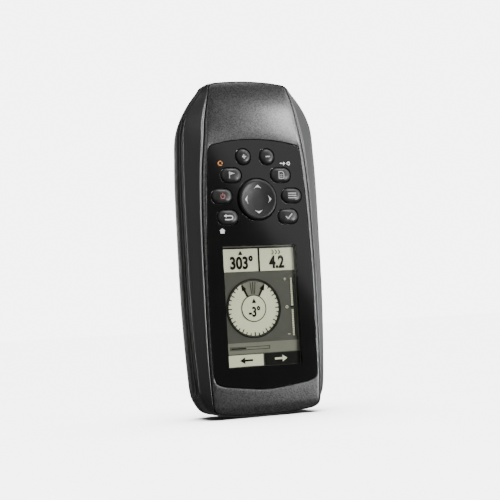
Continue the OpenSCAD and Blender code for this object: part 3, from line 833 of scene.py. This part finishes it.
def make_panel(material):
    """The glossy panel, made as a curve so that every edge is rounded alike."""
    key_gap, pad_gap, lens_gap = 0.35, 0.45, 0.02
    holes = [key_line(node, key_gap) for node in KEY_NODES]
    holes.append(arc(*middle("direction_pad"), pad_radius() + pad_gap, count=96))
    source = put_in("panel_curve", panel_curve([PANEL_LINE] + holes, 0.14))
    mesh = mesh_of(source)
    bpy.data.objects.remove(source)
    x, z, depth = (np.array([v.co for v in mesh.vertices]) / MM).T
    points = np.column_stack([x, FACE + PANEL_T / 2 - depth, z])
    panel = new_object("panel_skin", points, [tuple(p.vertices) for p in mesh.polygons], 25)
    window = prism(around("display_lens", lens_gap), -1, PANEL_T + 1)
    combine(panel, [window], "DIFFERENCE")
    soften(panel, 25)
    flatten(panel)
    face_forward(panel, FACE)
    return finished(panel, material, "case", "panel_gloss", "face_panel")


def make_strip(side, material):
    """A rubber strip in one side channel."""
    node = "side_strip_right" if side > 0 else "side_strip_left"
    low, high = box_mm(node)
    half = fitted_half(CASE_POINTS)
    half = half[(half[:, 1] > low[2]) & (half[:, 1] < high[2])]
    foot = CHANNEL_DEEP - 0.02
    top = CHANNEL_DEEP - 0.5
    rise = [(foot, 0), (foot - 0.3, 0.1), (top + 0.06, 0.4), (top, 0.9)]
    section = [(e, low[1] + d) for e, d in rise] + [(e, high[1] - d) for e, d in rise[::-1]]
    rings = []
    for i, point in enumerate(half):
        # The last three rings at either end sink towards the channel's floor.
        sink = 0.9 * (1 - min(1, min(i, len(half) - 1 - i) / 3))
        points = [ring(shrunk(point[None], between(e, foot, sink)), d) for e, d in section]
        rings.append(np.vstack(points) * (side, 1, 1))
    strip = loft(node + "_skin", rings, sharp=40)
    return finished(strip, material, "case", "strip_rubber", node)


def make_bead(material):
    """The seam's gasket, a bead that stands out of the channel's floor."""
    proud, play = 0.6, 0.02
    outside = shrunk(CASE_LINE, np.maximum(0.1, channel(CASE_LINE[:, 1]) - proud))
    inside = channelled(CASE_LINE, 1.4)
    d0, d1 = SEAM_D0 + play, SEAM_D0 + SEAM_GAP - play
    section = [(ring(outside, d0), 0.3), (ring(outside, d1), 0.3),
               (ring(inside, d1), 0), (ring(inside, d0), 0)]
    bead = loft("gasket_bead", rounded(*zip(*section), closed=True), closed=True)
    return finished(bead, material, "case", "strip_rubber", "case_gasket")


# ---- Keys ----

OVAL_KEYS = ["key_mark", "key_page", "key_power", "key_menu", "key_back", "key_select"]
ROUND_KEYS = ["key_zoom_in", "key_zoom_out"]
KEY_NODES = ROUND_KEYS + OVAL_KEYS
KEY_FLANGE, KEY_FLANGE_T = 0.8, 0.75
KEY_SKIRT, KEY_STEM_R = 0.35, 1.5
# The gap between the panel's back and what is held behind it.
UNDER_PANEL = PANEL_T + 0.15
KEY_PROUD = -box_mm("key_mark")[0][1]


def key_size(node):
    """The width and height of a key inside its flange."""
    low, high = box_mm(node)
    width, _, height = high - low - 2 * KEY_FLANGE
    return width, height


def key_line(node, grow=0.0):
    width, height = key_size(node)
    return oval(*middle(node), width + 2 * grow, height + 2 * grow)


def dome(k):
    """The depth of a key's face at a share k of the way to its edge."""
    return KEY_SKIRT - (KEY_PROUD + KEY_SKIRT) * (1 - np.minimum(k, 1) ** 2.7) ** (1 / 2.3)


def key_share(node, x, z):
    """How far a point is from a key's middle, as a share of the way to its edge."""
    width, height = key_size(node)
    cx, cz = middle(node)
    r = height / 2
    straight = (width - height) / 2
    u, v = np.abs(x - cx), np.abs(z - cz)
    flat = v / r
    a = straight ** 2 - r ** 2
    b = -2 * straight * u
    c = u ** 2 + v ** 2
    root = np.sqrt(np.maximum(b * b - 4 * a * c, 0))
    ends = (-b - root) / (2 * a)
    return np.where(u <= straight * flat, flat, ends)


def make_key(node, material):
    line = key_line(node)
    centre = np.array(middle(node))
    toward = line - centre
    stem = centre + toward * KEY_STEM_R / np.linalg.norm(toward, axis=1, keepdims=True)
    wide = key_line(node, KEY_FLANGE)
    flange_end = UNDER_PANEL + KEY_FLANGE_T
    shares = np.sin(np.linspace(0.06, 1, 16) * math.pi / 2)
    rings = [ring(centre + toward * k, dome(k)) for k in shares]
    rings += [ring(line, UNDER_PANEL), ring(wide, UNDER_PANEL), ring(wide, flange_end),
              ring(stem, flange_end), ring(stem, box_mm(node)[1][1])]
    key = loft(node + "_skin", rings, sharp=50)
    return finished(key, material, node, "key_rubber", node)


# The pad's face as (radius, depth behind its highest ring), up to the wall at its edge.
PAD_FACE = [(0.01, 0.72), (2, 0.71), (3.6, 0.62), (4.9, 0.45), (6.2, 0.30), (7.2, 0.16),
            (7.9, 0.02), (8.25, 0), (8.6, 0.08), (8.95, 0.32)]
PAD_WALL = [(-0.1, 0.75), (0, 1.4)]
PAD_FLANGE, PAD_FLANGE_D = 0.6, (2.2, 2.7)
# The ears that hold the pivot: half their size, how far out they are, and their depths.
EAR_HALF, EAR_AT, EAR_D = (1.6, 0.7), 3.6, (2.5, 5.6)
# The four pins that press on the membrane, and the bearing's depth, radius and length.
PIN_R, PIN_AT, PIN_D = 0.9, 6.8, (2.5, 5.3)
BEARING = (4.3, 0.85, 12)


def pad_radius():
    low, high = box_mm("direction_pad")
    return (high[0] - low[0]) / 2 - PAD_FLANGE


def pad_profile():
    """The pad's face as radii and depths."""
    proud = box_mm("direction_pad")[0][1]
    profile = PAD_FACE + [(pad_radius() + r, d) for r, d in PAD_WALL]
    radii, depths = np.array(profile).T
    return radii, depths + proud


def pad_depth(x, z):
    cx, cz = middle("direction_pad")
    return np.interp(np.hypot(x - cx, z - cz), *pad_profile())


def make_pad(material):
    """The rocker with its flange, ears, pins and bearing."""
    x, z = middle("direction_pad")
    radii, depths = pad_profile()
    fine = [np.linspace(a, b, 4)[:-1] for a, b in zip(radii, radii[1:])]
    fine = np.concatenate(fine + [radii[-1:]])
    smooth = np.interp(fine, radii, depths)
    for _ in range(3):
        smooth[1:-1] = (smooth[:-2] + 2 * smooth[1:-1] + smooth[2:]) / 4
    edge = radii[-1]
    front, back = PAD_FLANGE_D
    steps = list(zip(fine, smooth))
    steps += [(edge, front), (edge + PAD_FLANGE, front), (edge + PAD_FLANGE, back), (0.01, back)]
    pad = loft("direction_pad_skin", [ring(arc(x, z, r, count=96), d) for r, d in steps], sharp=40)
    added = [prism(block_at(x, z + at, *EAR_HALF), *EAR_D) for at in (-EAR_AT, EAR_AT)]
    added += [prism(arc(px, pz, PIN_R, count=24), *PIN_D) for px, pz in arc(x, z, PIN_AT, count=4)]
    combine(pad, added, "UNION")
    combine(pad, [rod(x, z, *BEARING)], "DIFFERENCE")
    soften(pad, 40)
    return finished(pad, material, "direction_pad", "key_rubber", "direction_pad")


def rod(x, z, depth, r, length):
    """A rod along Z."""
    loop = arc(0, 0, r, count=32)
    rings = [np.column_stack([x + loop[:, 0], FACE + depth + loop[:, 1], np.full(len(loop), end)])
             for end in (z - length / 2, z + length / 2)]
    return loft("rod", rings)


# ---- Printed marks: each shape is a pair of lines, and the ink lies between them ----

def stroke(points, width):
    """A line of ink along closely spaced points."""
    p = np.array(points, float)
    along = np.gradient(p, axis=0)
    side = np.column_stack([-along[:, 1], along[:, 0]])
    side /= np.maximum(np.linalg.norm(side, axis=1, keepdims=True), 1e-9)
    return p - side * width / 2, p + side * width / 2


def bars(width, *ends):
    """Straight lines of ink, each as (x0, z0, x1, z1)."""
    return [stroke(np.linspace(p[:2], p[2:], 6), width) for p in ends]


def hoop(x, z, r, width, a0=0, a1=359.9, count=48):
    return arc(x, z, r - width / 2, a0, a1, count), arc(x, z, r + width / 2, a0, a1, count)


def plates(*boxes):
    """Filled rectangles, each as (x0, x1, z0, z1)."""
    return [tuple(np.linspace((x, z0), (x, z1), 6) for x in (x0, x1)) for x0, x1, z0, z1 in boxes]


def wedge(tip, left, right):
    """A triangle."""
    return np.linspace(tip, left, 6), np.linspace(tip, right, 6)


def moved(shapes, x, z, turn=0.0, size=1.0):
    """Shapes turned about the origin, scaled and moved to a place."""
    c, s = math.cos(math.radians(turn)) * size, math.sin(math.radians(turn)) * size
    spin = np.array([[c, s], [-s, c]])
    return [tuple(line @ spin + (x, z) for line in shape) for shape in shapes]


def printed(name, shapes, surface, material, body, slot, lift=0.02, thick=0.05):
    """Ink that lies on a surface, whose depth is a function of x and z."""
    points, faces = [], []
    for a, b in shapes:
        start = sum(len(p) for p in points)
        count = len(a)
        for line, deeper in ((a, 0), (b, 0), (b, thick), (a, thick)):
            points.append(ring(line, surface(line[:, 0], line[:, 1]) - lift + deeper))
        corners = [start + k * count for k in range(4)]
        for i in range(count - 1):
            faces += [(p + i, p + i + 1, q + i + 1, q + i)
                      for p, q in zip(corners, corners[1:] + corners[:1])]
        faces.append(tuple(corners))
        faces.append(tuple(p + count - 1 for p in corners[::-1]))
    obj = new_object(name, np.vstack(points), faces)
    return finished(obj, material, body, slot)


def on_key(node):
    return lambda x, z: dome(key_share(node, x, z))


def on_panel(x, z):
    return 0 * x


def flag_mark():
    return bars(0.3, (-1.0, -1.2, -1.0, 1.3)) + [wedge((1.3, 0.65), (-0.9, 1.25), (-0.9, 0.0))]


def page_mark():
    edges = bars(0.28, (-1, -1.3, -1, 1.3), (-1.1, -1.3, 1.1, -1.3), (1, -1.3, 1, 0.75),
                 (-1.1, 1.3, 0.45, 1.3), (0.45, 1.3, 1, 0.75))
    return edges + bars(0.24, (-0.5, 0.2, 0.5, 0.2), (-0.5, -0.5, 0.5, -0.5))


def power_mark():
    return [hoop(0, -0.1, 1.0, 0.32, 125, 415)] + bars(0.32, (0, 0.1, 0, 1.35))


def menu_mark():
    return bars(0.34, *((-1.7, z, 1.7, z) for z in (-0.85, 0, 0.85)))


def back_mark():
    line = np.vstack([np.linspace((-1.1, 0.55), (0.9, 0.55), 8)[:-1],
                      arc(0.9, -0.15, 0.7, 90, -90, 16),
                      np.linspace((0.9, -0.85), (-1.5, -0.85), 8)[1:]])
    return [stroke(line, 0.36), wedge((-1.9, 0.55), (-0.9, 1.15), (-0.9, -0.05))]


def tick_mark():
    return bars(0.4, (-1.3, 0, -0.35, -0.9), (-0.45, -0.95, 1.4, 1.0))


def plus_mark():
    return bars(0.42, (-0.95, 0, 0.95, 0), (0, -0.95, 0, 0.95))


def minus_mark():
    return bars(0.42, (-0.95, 0, 0.95, 0))


def chevron():
    """One of the pad's arrows, pointing up."""
    t = np.linspace(-0.985, 0.985, 21)
    upper = np.column_stack([1.7 * t, 0.85 - 1.45 * np.abs(t) ** 0.85])
    lower = np.column_stack([1.7 * t, -0.08 - 0.55 * np.abs(t) ** 1.6])
    return [(lower, upper)]


def lifebuoy():
    bands = [hoop(0, 0, 0.85, 0.62, a - 12, a + 12, 8) for a in (45, 135, 225, 315)]
    return [hoop(0, 0, 0.85, 0.42)] + bands


def goto_mark():
    arrow = bars(0.36, (-2.4, 0, -0.8, 0)) + [wedge((0.3, 0), (-0.9, 0.75), (-0.9, -0.75))]
    return arrow + [hoop(1.5, 0, 0.6, 0.36)]


def house_mark():
    return [wedge((0, 1.15), (-1.3, 0.1), (1.3, 0.1))] + plates((-0.85, 0.85, -0.95, 0.12))


# How large the marks are printed, and how far out the pad's arrows are.
OVAL_MARK, ROUND_MARK, LABEL, ARROW = 1.2, 1, 1.1, 1.12
ARROW_AT = 5.6
# Each key's mark, its ink and its size.
KEY_MARKS = {
    "key_zoom_in": (plus_mark, "ink_white", ROUND_MARK),
    "key_zoom_out": (minus_mark, "ink_white", ROUND_MARK),
    "key_mark": (flag_mark, "ink_grey", OVAL_MARK),
    "key_page": (page_mark, "ink_grey", OVAL_MARK),
    "key_power": (power_mark, "ink_red", ROUND_MARK),
    "key_menu": (menu_mark, "ink_grey", OVAL_MARK),
    "key_back": (back_mark, "ink_white", OVAL_MARK),
    "key_select": (tick_mark, "ink_grey", OVAL_MARK)}
# Each label on the panel: its mark, its ink and its place.
LABELS = {
    "label_lifebuoy": (lifebuoy, "ink_orange", (-17.1, 113.8)),
    "label_goto": (goto_mark, "ink_white", (14.9, 113.8)),
    "label_house": (house_mark, "ink_white", (-17.8, 83.4))}


def make_marks(inks):
    for node, (mark, ink, size) in KEY_MARKS.items():
        shapes = moved(mark(), *middle(node), size=size)
        printed(node + "_mark", shapes, on_key(node), inks[ink], node, "key_rubber")
    x, z = middle("direction_pad")
    arrows = []
    for turn in (0, 90, 180, 270):
        angle = math.radians(turn)
        arrows += moved(chevron(), x - ARROW_AT * math.sin(angle), z + ARROW_AT * math.cos(angle),
                        turn, ARROW)
    printed("direction_pad_arrows", arrows, pad_depth, inks["ink_white"], "direction_pad",
            "key_rubber")
    for name, (mark, ink, at) in LABELS.items():
        printed(name, moved(mark(), *at, size=LABEL), on_panel, inks[ink], "case", "panel_gloss",
                lift=0.01, thick=0.03)


# ---- The display's picture, measured right and down from the window's upper left corner ----

# How far apart the picture's layers lie, and how thick they are.
LCD_STEP, LCD_T = 0.05, 0.04


def lcd_place():
    low, high = box_mm("display_lens")
    return low[0], high[2], high[0] - low[0], high[2] - low[2]


def lcd_depth(level):
    """The depth of one of the picture's layers."""
    return box_mm("lcd_glass")[0][1] - 0.03 - LCD_STEP * level


def lcd_layer(name, shapes, level, material):
    x0, z1, _, _ = lcd_place()
    placed = [tuple(line * (1, -1) + (x0, z1) for line in shape) for shape in shapes]
    return printed(name, placed, lambda x, z: lcd_depth(level) + 0 * x, material, "case",
                   "lcd_glass", lift=0, thick=LCD_T)


def lcd_number(name, text, u, v, height, level, material):
    """A generic reading in plain numerals."""
    narrow = 0.8
    curve = bpy.data.curves.new(name, "FONT")
    curve.body = text
    curve.align_x = curve.align_y = "CENTER"
    curve.size = 1
    curve.offset = 0.035
    curve.resolution_u = 4
    curve.extrude = 0.5
    source = put_in(name, curve)
    mesh = mesh_of(source)
    bpy.data.objects.remove(source)
    x0, z1, _, _ = lcd_place()
    right, up, out = np.array([vertex.co for vertex in mesh.vertices]).T
    points = np.column_stack([x0 + u + right * height * narrow,
                              FACE + lcd_depth(level) + (0.5 - out) * LCD_T, z1 - v + up * height])
    obj = new_object(name, points, [tuple(f.vertices) for f in mesh.polygons])
    return finished(obj, material, "case", "lcd_glass")


DIAL, DIAL_R, HUB_R = (14.2, 28.2), 12.4, 5.9
TICK_R, LONG_TICK_R = 11.2, 10.6
# The needles' angles, and how far the dial's ticks keep off them.
SECTOR, SECTOR_GAP = (62, 117), 4
# The tall scale's first tick, the step to the next, and the middle of its pointer's gap.
SCALE_TOP, SCALE_STEP, SCALE_POINTER = 15.2, 0.8, 28.2


def polar(r, angle):
    """A point of the dial."""
    return DIAL[0] + r * math.cos(math.radians(angle)), DIAL[1] - r * math.sin(math.radians(angle))


def spoke(r0, r1, angle, width):
    return bars(width, (*polar(r0, angle), *polar(r1, angle)))


def dial_hoop(r, width, a0=0, a1=359.9, count=72):
    return tuple(np.array([polar(q, a) for a in np.linspace(a0, a1, count)])
                 for q in (r - width / 2, r + width / 2))


def light_fields():
    """The two reading boxes, the left button and the dial."""
    return plates((0.5, 17.5, 1.3, 11.5), (18.5, 35.4, 1.3, 11.5), (0.8, 17.6, 48.8, 53.9)) + [
        dial_hoop(DIAL_R / 2, DIAL_R - 0.1)]


def mid_fields(width, height):
    """The message line, the sector between the needles and the picture's edge."""
    edge = plates((0.1, width - 0.1, 0.15, 0.45), (width - 0.4, width - 0.12, 0.2, height - 0.2))
    return plates((0.3, width - 0.3, 43.4, 48.3)) + [dial_hoop(9.1, 6.2, *SECTOR, 24)] + edge


def dial_lines():
    """The dial's ticks, its needles and the lines between them."""
    lines = []
    for i in range(36):
        if not SECTOR[0] - SECTOR_GAP < 10 * i < SECTOR[1] + SECTOR_GAP:
            lines += spoke(TICK_R if i % 3 else LONG_TICK_R, DIAL_R, 10 * i, 0.48)
    for angle in SECTOR:
        lines += spoke(HUB_R + 0.3, 11.6, angle, 0.9)
        lines.append(wedge(polar(12.2, angle), polar(9.4, angle - 7), polar(9.4, angle + 7)))
    for angle in (84, 90, 96):
        lines += spoke(HUB_R + 0.6, 12, angle, 0.28)
    return lines


def dark_lines(width, height):
    """What is drawn dark on the light fields."""
    dark = [dial_hoop(13.1, 0.5), dial_hoop(DIAL_R, 0.3), dial_hoop(HUB_R, 0.42)]
    dark += plates((18.3, width - 0.2, 48.6, height - 0.1), (0.3, width - 0.3, 0.7, 1.2),
                   (17.7, 18.2, 1.2, 11.6))
    dark += dial_lines()
    # The bearing's and the speed's small signs over their numbers, and the left button's arrow.
    dark.append(wedge((9, 2), (7.9, 4), (10.1, 4)))
    for u in (25, 26.6, 28.2):
        dark.append(stroke([(u - 0.5, 2.1), (u + 0.1, 2.6), (u + 0.4, 3.1), (u + 0.1, 3.6),
                            (u - 0.5, 4.1)], 0.4))
    dark += [wedge((6.2, 51.3), (8.6, 49.8), (8.6, 52.8))] + bars(0.9, (8.4, 51.3, 12.4, 51.3))
    # A bar that shows how far the setting up has come, a painted shadow line at the right of the
    # tall scale's bars, and the scale's pointer.
    dark += plates((1.6, 21, 45.2, 45.4), (1.6, 21, 46.4, 46.6), (1.6, 1.8, 45.2, 46.6),
                   (20.8, 21, 45.2, 46.6), (2.2, 9.4, 45.6, 46.2), (34.2, 34.4, 15, 41.4),
                   (32.4, 34, 28.0, 28.6))
    dark.append(wedge((14.4, 23.7), (13.3, 25.8), (15.5, 25.8)))
    return dark


def bright_lines():
    """The right button's arrow, the tall scale and the signs beside it."""
    bright = [wedge((29.4, 51.3), (27, 49.8), (27, 52.8))] + bars(0.9, (23.2, 51.3, 27.2, 51.3))
    for i in range(33):
        v = SCALE_TOP + SCALE_STEP * i
        if abs(v - SCALE_POINTER) > 0.9:
            bright += plates((32.9, 33.8, v, v + 0.5))
    signs = bars(0.25, (29.6, 15.6, 31, 15.6), (30.3, 14.9, 30.3, 16.3), (30.4, 40.6, 31.6, 40.6))
    return bright + signs + [hoop(30.6, 28.3, 0.55, 0.22)]


def make_display(inks):
    _, _, width, height = lcd_place()
    light, mid, dark = inks["lcd_light"], inks["lcd_mid"], inks["lcd_dark"]
    lcd_layer("lcd_light", light_fields(), 1, light)
    lcd_layer("lcd_mid", mid_fields(width, height), 2, mid)
    lcd_layer("lcd_hub", [dial_hoop(HUB_R / 2, HUB_R - 0.05)], 3, light)
    lcd_layer("lcd_dark", dark_lines(width, height), 4, dark)
    lcd_layer("lcd_bright", bright_lines(), 5, light)
    lcd_number("lcd_number_bearing", "303°", 9.4, 7.9, 7.6, 4, dark)
    lcd_number("lcd_number_speed", "4.2", 26.8, 7.9, 7.6, 4, dark)
    lcd_number("lcd_number_hub", "-3°", 14.5, 30, 6, 4, dark)


# ---- CAD nodes that keep their shape ----

# How wide the edges of some nodes are rounded.
EDGES = {
    "battery_door": 0.3, "weather_cap": 0.4, "cap_strap": 0.4, "latch_barrel": 0.25,
    "case_screws": 0.1, "latch_cam": 0.2, "usb_port": 0.1, "data_port": 0.15,
    "aa_cell_left": 0.4, "aa_cell_right": 0.4}


def dress_nodes():
    """Gives the CAD nodes that stay their materials, and rounds edges."""
    looks = {
        lens_clear: "display_lens",
        steel: "board_screws lcd_frame rf_shield usb_port contact_springs contact_plates d_ring "
               "pad_pivot_cross pad_bracket antenna_ground latch_cam",
        dark_steel: "case_screws",
        gold: "data_port_pins snap_domes",
        board_green: "main_board port_board",
        ceramic: "patch_antenna",
        chip_black: "board_chips beeper data_port",
        light_guide: "backlight_guide",
        flex_film: "lcd_flex",
        ivory_plastic: "board_link",
        cell_wrap: "aa_cell_left aa_cell_right",
        seal_foam: "door_seal",
        silicone: "keypad_membrane",
        black_rubber: "weather_cap cap_strap latch_seal",
        back_plastic: "battery_door",
        key_plastic: "latch_barrel",
        lcd_base: "lcd_glass"}
    for look, nodes in looks.items():
        material = look()
        for node in nodes.split():
            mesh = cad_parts[node].data
            for i in range(len(mesh.materials)):
                mesh.materials[i] = material
            if not mesh.materials:
                mesh.materials.append(material)
    for node, width in EDGES.items():
        round_edges(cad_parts[node], width)


def round_edges(obj, width):
    weld = obj.modifiers.new("weld", "WELD")
    weld.merge_threshold = 1e-6
    bevel = obj.modifiers.new("bevel", "BEVEL")
    bevel.width = width * MM
    bevel.segments = 3
    bevel.limit_method = "ANGLE"
    bevel.angle_limit = math.radians(40)
    bevel.harden_normals = True


# ---- Stage ----

# How bright the pale surround is to the camera, and the dim one that the object mirrors.
SURROUND = 6
FILL = 0.1


def soft_card(name, at, aim, size, radiance, tilt=0.0):
    """A soft rectangular light, turned to face a point."""
    light = bpy.data.lights.new(name, "AREA")
    light.shape = "RECTANGLE"
    light.size, light.size_y = size
    light.energy = 4 * radiance * size[0] * size[1]
    obj = put_in(name, light)
    obj.location = at
    obj.rotation_euler = (Vector(aim) - Vector(at)).to_track_quat("-Z", "Y").to_euler()
    obj.rotation_euler.rotate_axis("Z", math.radians(tilt))
    obj.visible_camera = False
    return obj


def light_link(light, state, *objects):
    """Limits a light to some objects (INCLUDE), or keeps it off them (EXCLUDE)."""
    group = bpy.data.collections.new(light.name + "_link")
    for obj in objects:
        group.objects.link(obj)
    for item in group.collection_objects:
        item.light_linking.link_state = state
    light.light_linking.receiver_collection = group


CASE_AT = (0, 0, 0.08)
# The lights, which keep off the floor: (name, place, aim, size in metres, radiance, tilt).
# near_box grades the bezel's paint, and front_card is what the glossy panel mirrors.
CARDS = (
    ("near_box", (0.30, -0.394, 0.268), (0.012, -0.014, 0.134), (0.10, 0.13), 25),
    ("front_card", (0.912, -1.214, 0.439), (0.912, 0, 0.439), (1.3, 0.9), 0.8, -56.3),
    ("left_strip", (-0.34, -0.94, 0.3), CASE_AT, (0.08, 0.9), 6),
    ("right_strip", (0.66, -0.45, 0.3), CASE_AT, (0.10, 0.7), 13),
    ("low_right", (0.33, -0.37, 0.03), (0, 0, 0.01), (0.06, 0.05), 150),
    ("rib_strip", (-0.94, 0.34, 0.3), CASE_AT, (0.1, 0.9), 15),
    ("left_wall", (-1.3, -0.1, 0.6), CASE_AT, (2.0, 1.6), 0.26),
    ("right_wall", (1.3, 0.1, 0.6), CASE_AT, (1.6, 1.6), 1.05),
    ("top_card", (0, -0.25, 0.9), CASE_AT, (0.8, 0.3), 3),
    ("rear_rim", (-0.05, 0.95, 0.17), CASE_AT, (0.3, 0.3), 3.2),
    ("rear_key", (0.25, 0.6, 0.85), CASE_AT, (0.5, 0.5), 12))
# What lights the upper edges of the keys alone, and the creases of the front shell alone.
KEY_CARD = ("key_top", (0.4, -0.41, 0.92), CASE_AT, (0.45, 0.45), 9)
CREASE_CARDS = (
    ("crease_left", (-0.12, -0.99, 0.3), CASE_AT, (0.06, 0.9), 75),
    ("crease_right", (0.66, -0.45, 0.3), CASE_AT, (0.08, 0.7), 45))


def make_lights(shell, keys, floor):
    """The studio, whose cards leave the floor to a light of its own."""
    for card in CARDS:
        unlit = [floor] + (keys if card[0] == "near_box" else [])
        light_link(soft_card(*card), "EXCLUDE", *unlit)
    light_link(soft_card(*KEY_CARD), "INCLUDE", *keys)
    for card in CREASE_CARDS:
        light_link(soft_card(*card), "INCLUDE", shell)


def make_world():
    """A white surround for the camera, and a dim one for the object to mirror."""
    world = bpy.data.worlds.new("world")
    world.use_nodes = True
    nodes, links = world.node_tree.nodes, world.node_tree.links
    seen, fill = nodes["Background"], nodes.new("ShaderNodeBackground")
    for ground, strength in ((seen, SURROUND), (fill, FILL)):
        ground.inputs["Color"].default_value = (1, 1, 1, 1)
        ground.inputs["Strength"].default_value = strength
    mix = nodes.new("ShaderNodeMixShader")
    links.new(nodes.new("ShaderNodeLightPath").outputs["Is Camera Ray"], mix.inputs["Fac"])
    links.new(fill.outputs["Background"], mix.inputs[1])
    links.new(seen.outputs["Background"], mix.inputs[2])
    links.new(mix.outputs["Shader"], nodes["World Output"].inputs["Surface"])
    bpy.context.scene.world = world


def make_floor():
    """A pale paper floor, lit from overhead to be as bright as the surround."""
    span = 4000
    corners = [(-span, -span, 0), (span, -span, 0), (span, span, 0), (-span, span, 0)]
    floor = new_object("floor", corners, [(0, 1, 2, 3)])
    floor.location.z = -0.2 * MM
    albedo = 0.88
    floor.data.materials.append(floor_paper(albedo))
    floor.visible_diffuse = floor.visible_glossy = False
    light = bpy.data.lights.new("floor_light", "SUN")
    light.energy = SURROUND * math.pi / albedo
    light.angle = math.radians(60)
    light_link(put_in("floor_light", light), "INCLUDE", floor)
    return floor


def main():
    make_camera()
    key = key_plastic()
    shell = make_front_shell(shell_plastic())
    make_back_shell(back_plastic())
    make_bezel(bezel_paint())
    make_panel(panel_gloss())
    strip = strip_rubber()
    make_strip(-1, strip)
    make_strip(1, strip)
    make_bead(strip)
    keys = [make_key(node, key) for node in KEY_NODES]
    keys.append(make_pad(pad_plastic()))
    inks = {name: print_ink(name, colour) for name, colour in INKS.items()}
    inks.update((name, lcd_tone(name, colour)) for name, colour in LCD_TONES.items())
    make_marks(inks)
    make_display(inks)
    dress_nodes()
    floor = make_floor()
    make_world()
    make_lights(shell, keys, floor)


main()
